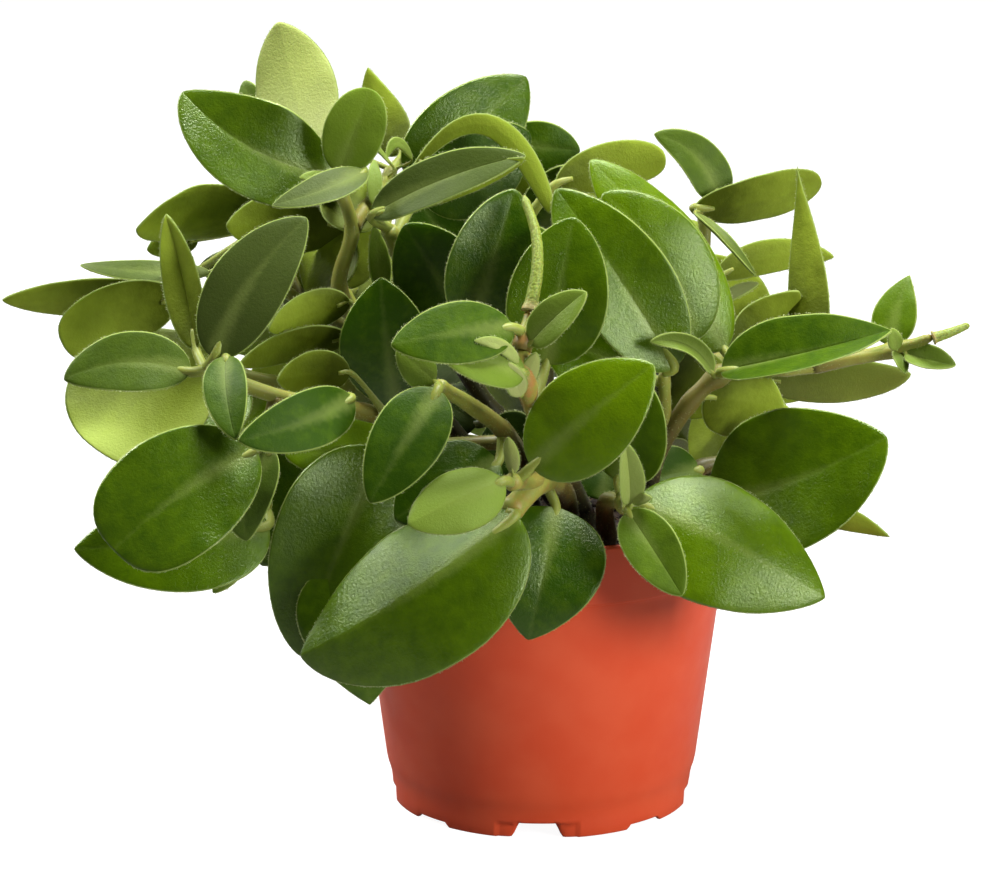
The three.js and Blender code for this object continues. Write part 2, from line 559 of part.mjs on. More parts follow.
// The compost: fills the pot to just under the rim, slightly heaped and crumbly, with a hole for each stem.
const SOIL_HEAP = 2.5;
const CRUMB = 1.1;
const SOIL_RINGS = 5;
const SOIL_SPOKES = 24;
const CRUMB_SEED = 5;
const SOIL_EDGE = 4;     // how far under its level the compost meets the wall
const HEAP_FOOT = 3;     // how far under its level the heap starts
const EDGE_STEP = 0.2;
const HOLE = { clearance: 0.5, above: 10, sides: 8 };
function soil() {
  const bottom = FLOOR_TOP + SEAT_GAP;
  const edgeAt = z => wallAt(Math.min(z, POT_HEIGHT - RIM_BAND)) - WALL - SEAT_GAP;
  const ring = (radius, z) => Array.from({ length: SOIL_SPOKES }, (_, k) => {
    const angle = 2 * Math.PI * k / SOIL_SPOKES;
    return new THREE.Vector3(radius * Math.cos(angle), radius * Math.sin(angle), z(k));
  });
  const crumbs = randomShares(CRUMB_SEED);
  const edge = SOIL_LEVEL - SOIL_EDGE;
  const rings = [ring(edgeAt(bottom), () => bottom), ring(edgeAt(edge), () => edge)];
  for (let i = SOIL_RINGS; i > 0; i--) {
    const share = i / SOIL_RINGS;
    const heap = SOIL_LEVEL - HEAP_FOOT + SOIL_HEAP * (1 - share * share);
    rings.push(ring((edgeAt(edge) - EDGE_STEP) * share, () => heap + CRUMB * (2 * crumbs() - 1)));
  }
  const top = new THREE.Vector3(0, 0, SOIL_LEVEL - HEAP_FOOT + SOIL_HEAP);
  const body = loft(rings, new THREE.Vector3(0, 0, bottom), top);
  const holes = Object.values(STEMS).map(({ foot, thick }) => {
    const depth = HOLE_DEPTH + SEAT_GAP;
    const radius = thick + HOLE.clearance;
    const hole = new THREE.CylinderGeometry(radius, radius, depth + HOLE.above, HOLE.sides);
    return fromGeometry(hole.rotateX(Math.PI / 2).translate(...foot, SOIL_LEVEL + (HOLE.above - depth) / 2));
  });
  return body.subtract(wasm.Manifold.union(holes));
}

// Repeatable shares between 0 and 1.
function randomShares(seed) {
  let state = seed;
  return () => {
    state = (state * 1664525 + 1013904223) % 4294967296;
    return state / 4294967296;
  };
}

// The flower spikes are rat-tails that stand on their own pink stalks.
const SPIKE_SIDES = 10;
const SPIKE_TAPER = 0.75;
const SPIKES = {
  flower_spike_centre: {
    course: [[530, 311, 92], [537, 270, 92], [536, 235, 90], [524, 196, 86]],
    radius: 2.1,
  },
  flower_spike_right: {
    course: [[933, 338, 58], [949, 333, 58], [969, 325, 57]],
    radius: 1.7,
  },
};

function spike({ course, radius }) {
  return tube(smooth(course.map(p => seen(...p))), radius, radius * SPIKE_TAPER, SPIKE_SIDES);
}

const COLOURS = { pot: 0xb9452b, soil: 0x2b1a12, stem: 0x4a7a22, spike: 0xa9b04a };

function named(name, solid, colour) {
  const mesh = solid.getMesh();
  const geometry = new THREE.BufferGeometry();
  geometry.setAttribute('position', new THREE.BufferAttribute(mesh.vertProperties, 3));
  geometry.setIndex(new THREE.BufferAttribute(mesh.triVerts, 1));
  geometry.computeVertexNormals();
  const made = new THREE.Mesh(geometry, new THREE.MeshStandardMaterial({ color: colour }));
  made.name = name;
  return made;
}

const plant = new THREE.Group();
const WIDTH_AND_DEPTH = new THREE.Vector3(1, 1, 0);
plant.add(named('pot', pot(), COLOURS.pot), named('soil', soil(), COLOURS.soil));
for (const [name, spec] of Object.entries(STEMS)) {
  plant.add(named(`stem_${name}`, leafyStem(spec), COLOURS.stem));
}
for (const [name, spec] of Object.entries(SPIKES)) {
  plant.add(named(name, spike(spec), COLOURS.spike));
}

// The whole plant is moved so that the origin lies under the middle of its width and depth.
const middle = new THREE.Box3().setFromObject(plant).getCenter(new THREE.Vector3());
plant.position.copy(middle).multiply(WIDTH_AND_DEPTH).negate();
export default plant;
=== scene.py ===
# A potted peperomia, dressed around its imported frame: fine fleshy leaves with downy margins, stems that rise
# from crumbly compost, two flower spikes and a moulded pot. The plant's own numbers are millimetres from the
# middle of the pot's foot, as the frame's source has them. Blender's units are metres.
import math

import bpy
import numpy as np
from mathutils import Matrix, Vector, noise


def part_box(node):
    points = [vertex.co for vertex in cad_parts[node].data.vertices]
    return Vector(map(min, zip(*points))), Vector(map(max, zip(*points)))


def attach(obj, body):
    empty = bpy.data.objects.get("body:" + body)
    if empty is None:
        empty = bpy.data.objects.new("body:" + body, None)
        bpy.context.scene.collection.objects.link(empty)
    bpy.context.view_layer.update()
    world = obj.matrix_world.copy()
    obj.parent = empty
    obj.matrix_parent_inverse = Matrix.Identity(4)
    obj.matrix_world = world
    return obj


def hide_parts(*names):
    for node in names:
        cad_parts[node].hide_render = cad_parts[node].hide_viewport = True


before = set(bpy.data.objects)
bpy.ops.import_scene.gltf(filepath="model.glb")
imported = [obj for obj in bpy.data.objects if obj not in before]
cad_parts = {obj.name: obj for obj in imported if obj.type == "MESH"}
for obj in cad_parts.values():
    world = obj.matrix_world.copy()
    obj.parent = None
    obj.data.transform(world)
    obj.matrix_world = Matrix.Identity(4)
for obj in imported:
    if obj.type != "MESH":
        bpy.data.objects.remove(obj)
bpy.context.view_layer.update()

MM = 0.001
POT_HEIGHT = 98.0
RIM_RADIUS = 60.0
RIM_BAND = 19.0
WALL = 1.4
FOOT_RADIUS = 48.2
FOOT_HEIGHT = 5.0
FLOOR_TOP = 9.5
SOIL_LEVEL = 89.0
BLADE_THICKNESS = 1.5
STALK_RADIUS = 1.6

# Where the viewer stands. A point of the plant is given as the picture shows it, across and down in pixels,
# and how many mm it lies in front of the pot's axis.
PICTURE_WIDTH = 1000
PICTURE_MIDDLE = (500.0, 439.5)
FOOT_IN_PICTURE = (541.0, 789.0)
PIXEL = 0.325
VIEW_DISTANCE = 1420.0
VIEW_TILT = math.radians(14.5)
RIGHT = np.array([1.0, 0.0, 0.0])
UP = np.array([0.0, math.sin(VIEW_TILT), math.cos(VIEW_TILT)])
TOWARD = np.array([0.0, -math.cos(VIEW_TILT), math.sin(VIEW_TILT)])
LIFT = UP + 0.01 * RIGHT   # the way that counts as up where a leaf has two sides to choose from
CROWN_LEAN = {"starts": 430.0, "ends": 130.0, "back": 40.0}

pot_low, pot_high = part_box("pot")
POT_AXIS = np.array([(pot_low.x + pot_high.x) / 2, (pot_low.y + pot_high.y) / 2, 0.0])


def in_picture(x, y):
    return RIGHT * (x - FOOT_IN_PICTURE[0]) * PIXEL + UP * (FOOT_IN_PICTURE[1] - y) * PIXEL


EYE = in_picture(*PICTURE_MIDDLE) + TOWARD * VIEW_DISTANCE


def seen(x, y, front):
    """The point that shows at (x, y) and lies front mm before the pot's axis, before the crown's lean."""
    height = (CROWN_LEAN["starts"] - y) / (CROWN_LEAN["starts"] - CROWN_LEAN["ends"])
    depth = CROWN_LEAN["back"] * min(max(height, 0.0), 1.0) - front
    ray = in_picture(x, y) - EYE
    return EYE + ray * (depth - EYE[1]) / ray[1]


def to_frame(points):
    """Millimetres from the pot's foot to metres in the frame."""
    return np.asarray(points) * MM + POT_AXIS


# A leaf has its base and its tip, its width in mm, and how far its upper face is turned from the viewer
# towards the sky, in degrees. Bow, sweep, cup, fold, root and point give its shape. Young, tone, velvet and
# pale give its colours, mostly from 0 to 1. Tone is partly the leaf's own green and partly painted light and
# shade: leaves deep in the crown or under others get a low one. Velvet also paints a grey sheen, and pale also
# paints the light that shines through a leaf lit from behind. Where young or tone is None, the leaf gets one
# of its own.
LEAF_HABIT = {"bow": 0.07, "sweep": 0.0, "cup": 8.0, "fold": 2.0, "root": 0.52, "point": 0.7, "young": None}
LEAF_LOOK = {"tone": None, "velvet": 0.0, "pale": 0.0}


def leaf(base, tip, width, turn=0, **habit):
    return {"base": base, "tip": tip, "width": width, "turn": turn, **LEAF_HABIT, **LEAF_LOOK, **habit}


def stem(foot, thick, course, shoots, *leaves, slim=0.6, blush=0.15):
    spec = {"foot": foot, "thick": thick, "course": course, "shoots": shoots, "leaves": leaves}
    return {**spec, "slim": slim, "blush": blush}


# A stem has the place of its foot in the pot and its radius there, in mm, then its course, its shoots and its
# leaves. Slim is how thin it ends, as a share of that radius, and blush is how pink its blotches are.
STEMS = {
    "front": stem(
        (8, -22), 4.4, [(562, 494, 34), (541, 481, 64), (509, 512, 78)],
        [[(541, 481, 64), (510, 482, 86)]],
        leaf((532, 467, 84), (654, 365, 95), 31, 14, cup=-8, tone=0.8),
        leaf((504, 481, 92), (408, 525, 106), 20.5, 15, cup=-6, fold=-12, young=0.75),
        leaf((513, 474, 88), (508, 437, 90), 5, 160, young=1, pale=0.6),
        leaf((516, 514, 80), (301, 656, 80), 51, 24, bow=0.1, sweep=-0.08, cup=-8, fold=-15, point=0.66,
             tone=0.45),
        leaf((556, 508, 64), (528, 640, 80), 36, -6, bow=0.12, point=0.82, tone=0.05),
        slim=0.8, blush=0.5,
    ),
    "front_left": stem(
        (-2, -10), 3.6, [(512, 442, 34), (470, 405, 64), (438, 386, 82)],
        [[(512, 442, 34), (410, 445, 42)]],
        leaf((438, 390, 86), (370, 503, 100), 22, 6, tone=0.05, velvet=0.05),
        leaf((434, 382, 83), (396, 350, 92), 12, 20, cup=-20, young=0.6),
        leaf((398, 410, 46), (381, 277, 60), 30, -14, cup=20, root=0.75, point=0.85, tone=0.0),
        leaf((385, 450, 38), (300, 656, 56), 45, 12, cup=24, fold=12, tone=0.35),
        leaf((350, 560, 50), (370, 705, 62), 38, 0, point=0.95, tone=0.3),
        leaf((498, 462, 46), (395, 520, 58), 28, 18, tone=0.0),
        leaf((398, 452, 28), (285, 456, 40), 21, 20, tone=0.9),
        leaf((350, 302, 52), (268, 330, 62), 14, 150),
        leaf((350, 338, 50), (238, 366, 60), 13, 140),
        leaf((350, 372, 52), (277, 380, 62), 15, 160),
    ),
    "centre": stem(
        (14, -8), 3.8, [(556, 452, 40), (528, 392, 84), (521, 350, 92)],
        [[(556, 452, 40), (500, 350, 50)], [(521, 350, 92), (527, 330, 92), (530, 312.4, 92)]],
        leaf((513, 328, 96), (391, 346, 108), 20, 20, fold=-4, tone=0.2, velvet=0.05),
        leaf((524, 373, 92), (442, 357, 106), 15, 22, young=0.5),
        leaf((518, 364, 94), (474, 341, 104), 4.5, 20, sweep=0.12, young=0.9, pale=0.5),
        leaf((520, 396, 88), (508, 362, 97), 7, 10, cup=10, young=1, pale=0.9),
        leaf((525, 392, 86), (536, 352, 96), 6, 160, pale=0.8),
        leaf((531, 344, 94), (587, 292, 104), 13, 25, fold=12, young=0.5, velvet=0.2),
        leaf((472, 326, 66), (515, 189, 78), 28, -4, cup=24, tone=0.1),
        leaf((546, 364, 72), (574, 217, 84), 31, 2, cup=14, tone=0.35),
        leaf((478, 332, 44), (405, 224, 52), 30, -14, tone=0.0),
        leaf((540, 410, 46), (610, 440, 30), 24, 10, tone=0.0),
        leaf((540, 446, 15), (480, 442, 7), 21, 6, tone=0.0),
        blush=0.9,
    ),
    "low_right": stem(
        (20, -24), 3.6, [(606, 502, 40), (628, 503, 62)],
        [[(606, 502, 40), (702, 495, 22)]],
        leaf((634, 502, 60), (825, 598, 68), 43, 24, bow=0.1, sweep=-0.018, cup=-14, fold=-5, point=0.8,
             tone=0.65),
        leaf((628, 512, 76), (682, 596, 90), 17, 5, fold=10, tone=0.35, young=0.15),
        leaf((629, 503, 74), (624, 441, 80), 10, 20, fold=30, young=0.9, pale=0.35),
        leaf((632, 500, 74), (652, 498, 80), 4, 10, pale=0.7, young=1),
        leaf((708, 503, 27), (887, 437, 48), 47, 16, sweep=-0.066, cup=16, fold=3, point=0.68, tone=0.4),
        leaf((800, 512, 2), (890, 537, 8), 9, 150, sweep=0.02, point=0.9, tone=0.8),
        leaf((618, 480, 58), (650, 386, 74), 24, 10, tone=0.4),
        leaf((604, 500, 14), (612, 446, 0), 24, 15, tone=0.0),
    ),
    "right": stem(
        (32, -6), 3.4, [(666, 437, 40), (722, 374, 52), (812, 366, 42), (897, 349, 46)],
        [[(666, 437, 40), (664, 372, 56)], [(812, 366, 42), (897, 350, 47), (930, 337.8, 57)]],
        leaf((722, 372, 60), (892, 331, 64), 26, 38, fold=30, cup=4, sweep=-0.07, point=0.85, tone=0.25),
        leaf((712, 373, 60), (650, 342, 70), 8, 20, cup=60, fold=10, sweep=0.16, young=0.7, velvet=0.4),
        leaf((674, 368, 58), (556, 189, 70), 31, 12, cup=10, fold=6, tone=0.45),
        leaf((690, 342, 50), (602, 194, 60), 29, 14, cup=-10, sweep=0.1, tone=0.6),
        leaf((724, 350, 36), (590, 160, 50), 28, 26, cup=-14, sweep=0.015, tone=0.9),
        leaf((632, 374, 48), (542, 330, 56), 30, 20),
        leaf((730, 354, 20), (799, 291, 24), 18, 150, sweep=-0.07, tone=0.0),
        leaf((704, 396, 36), (784, 410, 26), 25, 165),
        leaf((756, 379, 20), (911, 374, 36), 16, 155, sweep=-0.065, tone=1.0, pale=0.3),
        leaf((890, 345, 42), (910, 275, 40), 14, 10, root=0.5, point=1.0, sweep=0.03, tone=0.5),
        leaf((896, 350, 48), (905, 374, 52), 5, 30, tone=0.2),
        leaf((906, 354, 50), (956, 365, 54), 10, 25, fold=30, sweep=-0.06, young=0.5),
        leaf((896, 350, 50), (892, 328, 54), 5, 20, young=1),
        leaf((808, 364, 26), (797, 165, 26), 14, 165, point=1.3, tone=0.1),
        blush=0.2,
    ),
    "high_right": stem(
        (30, 12), 3.2, [(650, 385, -8), (700, 275, -12), (706, 214, -8)],
        [],
        leaf((718, 198, -6), (654, 134, 0), 15.5, 25, cup=14, sweep=0.13, root=0.32, tone=0.4, velvet=0.5),
        leaf((694, 208, -2), (821, 180, -8), 19, 140, bow=-0.02, sweep=-0.045, point=0.42, tone=0.35),
        leaf((695, 213, 4), (757, 277, 8), 6, 60, cup=50, sweep=-0.08, velvet=0.7, tone=0.1),
        leaf((716, 276, -22), (834, 257, -28), 12, 160, sweep=0.065, tone=1.0),
        leaf((720, 302, -16), (759, 283, -20), 5, 30, velvet=1.0, pale=0.25),
        leaf((690, 302, -12), (618, 262, -14), 30, 155),
        leaf((668, 348, -10), (598, 340, -26), 30, 155),
        leaf((698, 262, -10), (664, 224, -26), 18, 165),
        leaf((656, 380, -6), (738, 402, -24), 26, 160),
    ),
    "top": stem(
        (6, 8), 3.4, [(474, 385, 8), (408, 278, 36), (388, 228, 48)],
        [[(474, 385, 8), (520, 230, 0)]],
        leaf((372, 216, 60), (526, 156, 72), 17, 30, cup=12, fold=10, sweep=0.01, tone=0.3, velvet=0.9),
        leaf((378, 214, 62), (525, 158, 74), 9, 150, sweep=-0.055, root=0.8, tone=1.0),
        leaf((394, 200, 46), (552, 214, 44), 7.5, 170, sweep=0.52, root=0.9, point=0.4, tone=1.0),
        leaf((420, 196, 30), (530, 134, 22), 30, -24, tone=0.0),
        leaf((412, 186, 16), (526, 77, 2), 31, 2, sweep=-0.015, root=0.44, point=0.72, tone=0.2, velvet=0.15),
        leaf((382, 292, 44), (374, 226, 54), 7, 10),
        leaf((474, 392, -14), (428, 340, -36), 26, 12),
        leaf((500, 330, 0), (440, 270, -14), 30, 10, tone=0.0),
        leaf((478, 424, 0), (436, 398, -4), 22, 10, tone=0.0),
        leaf((508, 270, 4), (566, 262, 14), 26, 25),
        leaf((515, 240, 4), (470, 205, -4), 22, 165),
        leaf((556, 184, 8), (666, 160, 4), 16, 165, sweep=0.03, point=0.42, tone=0.8),
        leaf((504, 146, -10), (580, 151, -14), 17, 0, sweep=0.02, tone=0.2),
        leaf((462, 268, 12), (412, 188, 16), 26, 5, tone=0.0),
    ),
    "upper_left": stem(
        (-8, 6), 3.4, [(430, 402, 14), (340, 292, 38), (352, 228, 48), (335, 178, 54)],
        [[(352, 228, 48), (392, 170, 20)]],
        leaf((306, 150, 30), (278, 22, 8), 27.5, 165, sweep=-0.005, root=0.6, tone=1.0, pale=0.5),
        leaf((332, 176, 52), (182, 92, 58), 32, 14, cup=12, fold=8, sweep=-0.11, tone=0.4, velvet=0.15),
        leaf((339, 173, 60), (371, 89, 64), 19, 5, point=0.5, tone=0.8, young=0.4),
        leaf((365, 171, 64), (272, 206, 76), 12, 36, cup=10, fold=6, sweep=-0.09, tone=0.2, velvet=0.95),
        leaf((332, 180, 60), (299, 178, 66), 5, 30, young=0.9, tone=1.0),
        leaf((403, 152, 12), (368, 67, 0), 15, 165, sweep=-0.08, point=0.9, tone=0.5),
        leaf((394, 168, 30), (369, 176, 44), 4, 20, sweep=0.9, young=0.8),
        leaf((412, 160, 24), (386, 160, 30), 4, 20, sweep=0.55, young=0.8),
        leaf((374, 206, 42), (374, 160, 38), 5, 10, young=0.8),
        leaf((258, 112, -4), (244, 81, -10), 8, -20, tone=0.0),
        leaf((346, 224, 24), (226, 226, 34), 22, 160),
        leaf((342, 290, 36), (300, 232, 12), 24, 160),
        leaf((336, 190, 46), (296, 140, 24), 22, 165),
        leaf((350, 232, 46), (356, 158, 34), 20, 172),
    ),
    "left_high": stem(
        (-20, 16), 3.2, [(420, 385, -6), (300, 300, 14), (262, 280, 20)],
        [[(300, 300, 14), (268, 225, 12)]],
        leaf((262, 212, 16), (136, 230, 28), 24, 138, cup=30, sweep=-0.05, tone=0.6),
        leaf((198, 240, -10), (147, 250, -6), 11, 150),
        leaf((210, 272, 2), (80, 265, 0), 9, 40, sweep=-0.09, velvet=0.8, tone=0.3),
        leaf((268, 274, -2), (200, 266, -10), 14, 20, velvet=0.5, tone=0.1),
        leaf((160, 292, -18), (2, 300, -14), 14, 150, bow=0.01, sweep=-0.025, tone=0.4),
        leaf((180, 298, 42), (62, 343, 48), 23, 160, cup=-30, sweep=0.03, point=0.36, tone=0.7),
        leaf((135, 330, 34), (152, 468, 56), 50, 170, cup=-24, tone=1.0),
        leaf((298, 306, 6), (222, 345, -14), 30, 165),
    ),
    "left": stem(
        (-15, -6), 3.6, [(400, 425, 32), (276, 396, 70), (205, 370, 77)],
        [[(276, 396, 70), (268, 440, 66), (266, 510, 58)]],
        leaf((214, 358, 82), (307, 218, 88), 24, 14, cup=6, sweep=0.05, tone=0.3, velvet=1.0),
        leaf((190, 372, 80), (64, 380, 82), 20, 24, fold=3, sweep=0.08, tone=0.35, velvet=0.5),
        leaf((196, 350, 72), (166, 214, 74), 14, 160, fold=-30, tone=0.8),
        leaf((226, 357, 84), (236, 440, 96), 14, -8, fold=10, sweep=-0.03, tone=0.05, velvet=0.1),
        leaf((352, 398, 78), (238, 441, 98), 18, 6, sweep=-0.05, tone=0.02, velvet=0.05),
        leaf((256, 450, 86), (114, 551, 104), 39, 14, sweep=0.03, root=0.5, point=0.36, tone=0.3, velvet=0.1),
        leaf((268, 525, 66), (74, 549, 78), 33, 12, sweep=-0.045, point=0.8, tone=0.4),
        leaf((246, 556, 56), (213, 593, 60), 7, 10, tone=0.3),
        leaf((272, 448, 82), (247, 541, 88), 17, 5, cup=30, sweep=0.12, tone=0.2, velvet=0.6),
    ),
    "side_left": stem(
        (-33, 16), 3.2, [(400, 446, -12), (300, 392, -4), (232, 372, 0)],
        [],
        leaf((236, 374, 0), (130, 420, -8), 30, 160),
        leaf((232, 374, 6), (160, 470, 28), 30, 20),
        leaf((268, 384, -4), (186, 520, 6), 32, 20),
        leaf((300, 394, -8), (250, 500, -34), 32, 155),
        leaf((330, 406, -12), (330, 500, -46), 32, 160),
        leaf((345, 412, -4), (262, 566, 14), 34, 20),
    ),
    "side_right": stem(
        (45, 10), 3.0, [(696, 470, -8), (742, 460, -12), (790, 455, -12)],
        [],
        leaf((790, 455, -12), (868, 452, -20), 24, 160),
        leaf((764, 458, -14), (804, 514, -26), 24, 160),
        leaf((752, 460, -8), (782, 556, 0), 26, 20),
        leaf((732, 462, -14), (752, 552, -42), 26, 160),
        leaf((770, 457, -14), (748, 395, -26), 24, 170),
        leaf((732, 462, -16), (700, 402, -34), 26, 165),
        leaf((700, 470, -6), (634, 486, 2), 20, 20, tone=0.0),
    ),
    "back_left": stem(
        (-22, 34), 3.6, [(460, 440, -46), (392, 360, -52), (340, 290, -44)],
        [],
        leaf((440, 424, -54), (335, 520, -84), 36, 160),
        leaf((450, 436, -52), (440, 535, -92), 34, 165),
        leaf((400, 380, -54), (292, 450, -80), 34, 165),
        leaf((384, 352, -54), (240, 400, -62), 30, 160),
        leaf((394, 362, -56), (425, 305, -86), 30, 170),
        leaf((356, 312, -50), (218, 310, -48), 28, 165),
        leaf((340, 290, -44), (262, 232, -38), 26, 170),
        leaf((342, 290, -44), (348, 205, -34), 24, 175),
        leaf((346, 296, -48), (420, 236, -58), 28, 170),
    ),
    "back_middle": stem(
        (8, 28), 3.6, [(545, 430, -40), (548, 330, -40), (546, 255, -30), (545, 218, -22)],
        [],
        leaf((545, 430, -44), (545, 522, -96), 34, 160, cup=20, fold=8),
        leaf((545, 400, -48), (460, 425, -88), 34, 160),
        leaf((548, 404, -46), (635, 425, -88), 36, 160),
        leaf((548, 335, -44), (470, 335, -86), 32, 165),
        leaf((550, 335, -44), (625, 340, -86), 32, 165),
        leaf((546, 260, -34), (462, 240, -54), 28, 168),
        leaf((548, 260, -34), (636, 245, -58), 28, 168),
        leaf((545, 220, -22), (505, 150, -16), 26, 172),
        leaf((548, 218, -22), (608, 178, -28), 24, 170),
        leaf((546, 236, -24), (566, 165, 4), 20, 10),
    ),
    "back_right": stem(
        (34, 32), 3.6, [(650, 430, -44), (714, 366, -48), (770, 330, -44)],
        [],
        leaf((655, 440, -46), (642, 522, -86), 30, 160),
        leaf((662, 424, -48), (740, 505, -82), 36, 160),
        leaf((690, 392, -50), (790, 460, -78), 34, 160),
        leaf((680, 402, -50), (655, 335, -84), 30, 168),
        leaf((718, 364, -50), (820, 390, -72), 26, 160),
        leaf((712, 366, -52), (692, 280, -68), 30, 170),
        leaf((768, 330, -44), (862, 366, -62), 22, 165),
        leaf((750, 342, -46), (704, 255, -48), 26, 172),
        leaf((770, 330, -44), (856, 340, -44), 12, 168),
    ),
}


def unit(vectors):
    return vectors / np.linalg.norm(vectors, axis=-1, keepdims=True)


class Shape:
    """Gathers vertices, faces and values at the vertices until they become one mesh."""

    def __init__(self):
        self.points, self.faces, self.kinds, self.values, self.count = [], [], [], {}, 0

    def add(self, points, faces, kind=0, **values):
        points = np.asarray(points).reshape(-1, 3)
        self.points.append(points)
        self.faces.extend(tuple(int(i) + self.count for i in face) for face in faces)
        self.kinds.extend([kind] * len(faces))
        for name in set(values) | set(self.values):
            held = self.values.setdefault(name, [np.zeros(self.count)])
            held.append(np.broadcast_to(np.asarray(values.get(name, 0.0), float), (len(points),)))
        self.count += len(points)

    def mesh_object(self, name, materials):
        mesh = bpy.data.meshes.new(name)
        mesh.from_pydata(to_frame(np.concatenate(self.points)).tolist(), [], self.faces)
        for key, parts in self.values.items():
            made = mesh.attributes.new(key, "FLOAT", "POINT")
            made.data.foreach_set("value", np.concatenate(parts).astype(np.float32))
        mesh.polygons.foreach_set("material_index", self.kinds)
        mesh.shade_smooth()
        for material in materials:
            mesh.materials.append(material)
        made = bpy.data.objects.new(name, mesh)
        bpy.context.scene.collection.objects.link(made)
        return made


def side_faces(count, size, start):
    """Faces between that many rings of size points each, which are numbered on from start."""
    at = lambda ring, k: start + ring * size + k % size
    return [
        (at(r, k), at(r, k + 1), at(r + 1, k + 1), at(r + 1, k)) for r in range(count - 1) for k in range(size)
    ]


def cap_faces(middle, start, size):
    """Faces from the last ring of a body, which starts at start, to the point in its middle."""
    return [(middle, start + k, start + (k + 1) % size) for k in range(size)]


def foot_faces(middle, start, size):
    """The same for its first ring."""
    return [(middle, b, a) for middle, a, b in cap_faces(middle, start, size)]


def rings_shape(rings, first, last):
    """Points and faces of a closed body from rings (n, m, 3) that run along it, wound to face outwards."""
    count, size = rings.shape[:2]
    points = np.concatenate([[first], rings.reshape(-1, 3), [last]])
    faces = foot_faces(0, 1, size)
    faces += side_faces(count, size, 1)
    faces += cap_faces(len(points) - 1, 1 + (count - 1) * size, size)
    ring = rings[count // 2]
    # A ring wound clockwise about the way the body runs has its faces the wrong way round.
    centre = ring.mean(0)
    turning = sum(np.cross(ring[k] - centre, ring[(k + 1) % size] - centre) for k in range(size))
    ahead = rings[min(count // 2 + 1, count - 1)].mean(0) - rings[count // 2 - 1].mean(0)
    if turning @ ahead < 0:
        faces = [face[::-1] for face in faces]
    return points, faces


def smooth(knots, steps):
    """A centripetal Catmull-Rom curve through the knots, with that many steps between each two."""
    knots = [np.asarray(k, float) for k in knots]
    before, after = 2 * knots[0] - knots[1], 2 * knots[-1] - knots[-2]
    padded = [before, *knots, after]
    points = []
    for i in range(len(knots) - 1):
        p0, p1, p2, p3 = padded[i : i + 4]
        d0, d1, d2 = (max(np.linalg.norm(b - a) ** 0.5, 1e-4) for a, b in ((p0, p1), (p1, p2), (p2, p3)))
        m1 = d1 * ((p1 - p0) / d0 - (p2 - p0) / (d0 + d1) + (p2 - p1) / d1)
        m2 = d1 * ((p2 - p1) / d1 - (p3 - p1) / (d1 + d2) + (p3 - p2) / d2)
        for k in range(steps):
            s = k / steps
            points.append(
                p1 + s * m1 + s * s * (3 * (p2 - p1) - 2 * m1 - m2) + s**3 * (2 * (p1 - p2) + m1 + m2)
            )
    return np.array([*points, knots[-1]])


def tube(spine, radii, sides):
    """Rings round a spine, with the frame carried along it so that it doesn't twist."""
    spine = np.asarray(spine)
    ahead = unit(np.gradient(spine, axis=0))
    across = np.cross([1.0, 0.0, 0.0], ahead[0])
    if np.linalg.norm(across) < 0.1:
        across = np.cross([0.0, 1.0, 0.0], ahead[0])
    turns = 2 * np.pi * np.arange(sides) / sides
    rings = []
    for point, forward, radius in zip(spine, ahead, radii):
        across = unit(across - forward * (across @ forward))
        other = np.cross(forward, across)
        ring = np.outer(np.cos(turns), across) + np.outer(np.sin(turns), other)
        rings.append(point + ring * radius)
    return np.array(rings)


# Painted shade in the crown's middle, where its own leaves would shade it: nothing outside SHADE_OUTER, most
# within SHADE_INNER, as shares of its half sizes. For the stems the crown counts as LIMB_SHADE times as large.
CROWN_MIDDLE = np.array([0.0, 12.0, 138.0])
CROWN_HALF = np.array([140.0, 92.0, 92.0])
SHADE_INNER, SHADE_OUTER = 0.22, 0.62
SHADE_MOST = 0.8
LIMB_SHADE = 1.35


def inner_shade(points, wider=1.0):
    out = np.linalg.norm((points - CROWN_MIDDLE) / (CROWN_HALF * wider), axis=1)
    share = np.clip((SHADE_OUTER - out) / (SHADE_OUTER - SHADE_INNER), 0, 1)
    return SHADE_MOST * share * share * (3 - 2 * share)


# Leaves. The materials of a leafy stem are in this order.
GLOSSY, STEM, DOWNY = 0, 1, 2
LEAF_STATIONS = 26
LEAF_COLUMNS = np.array([0, 0.03, 0.1, 0.22, 0.37, 0.53, 0.69, 0.82, 0.91, 0.965, 1.0])
EDGE_SHARE, RIB_SHARE = 0.55, 0.45   # of the thickness: to the margin, and more at the midrib
NARROW = 1.6          # mm: where half the blade is narrower than this, it is thinner too
SMALL_WIDTH = 13.0    # mm: narrower leaves are thinner
SMALL_THICKNESS = 0.8
WAVE = 0.014          # waviness of the margin, as a share of the width
WAVES = ((1.3, 0.3, 1.0), (2.9, -0.4, 0.6))   # waves along the leaf, shift between its sides, share
RIB_GROOVE = 0.12     # mm
RIB_WIDTH = 1.1       # mm
HAIR_LENGTH = 0.7     # mm
HAIR_RADIUS = 0.055   # mm
HAIR_SPACING = 0.4    # mm
LEAST_HAIRS = 8
MARGIN_BULGE = 0.6    # of the width: how much longer a margin counts than the leaf
MARGIN_SPAN = (0.02, 0.995)   # the part of the leaf's length that has hairs
HAIR_ROOT, HAIR_WAY = 0.985, 0.9   # across: where a hair starts, and from where its way outwards is taken
MARGIN_LENGTHS, MARGIN_SPREAD = (0.5, 1.25), 0.35
HAIR_FORWARD = 0.25   # how much the hairs lean towards the leaf's tip
GLOSSY_FROM = 27.0    # mm: narrower leaves are downy rather than glossy
DOWNY_VELVET = 0.3    # so are wider ones with at least this much velvet
USUAL_TONES = (0.1, 0.8)
YOUNG_MOST = 0.4      # a leaf with no young of its own is the younger, the narrower it is
YOUNG_WIDTHS = (15, 20)


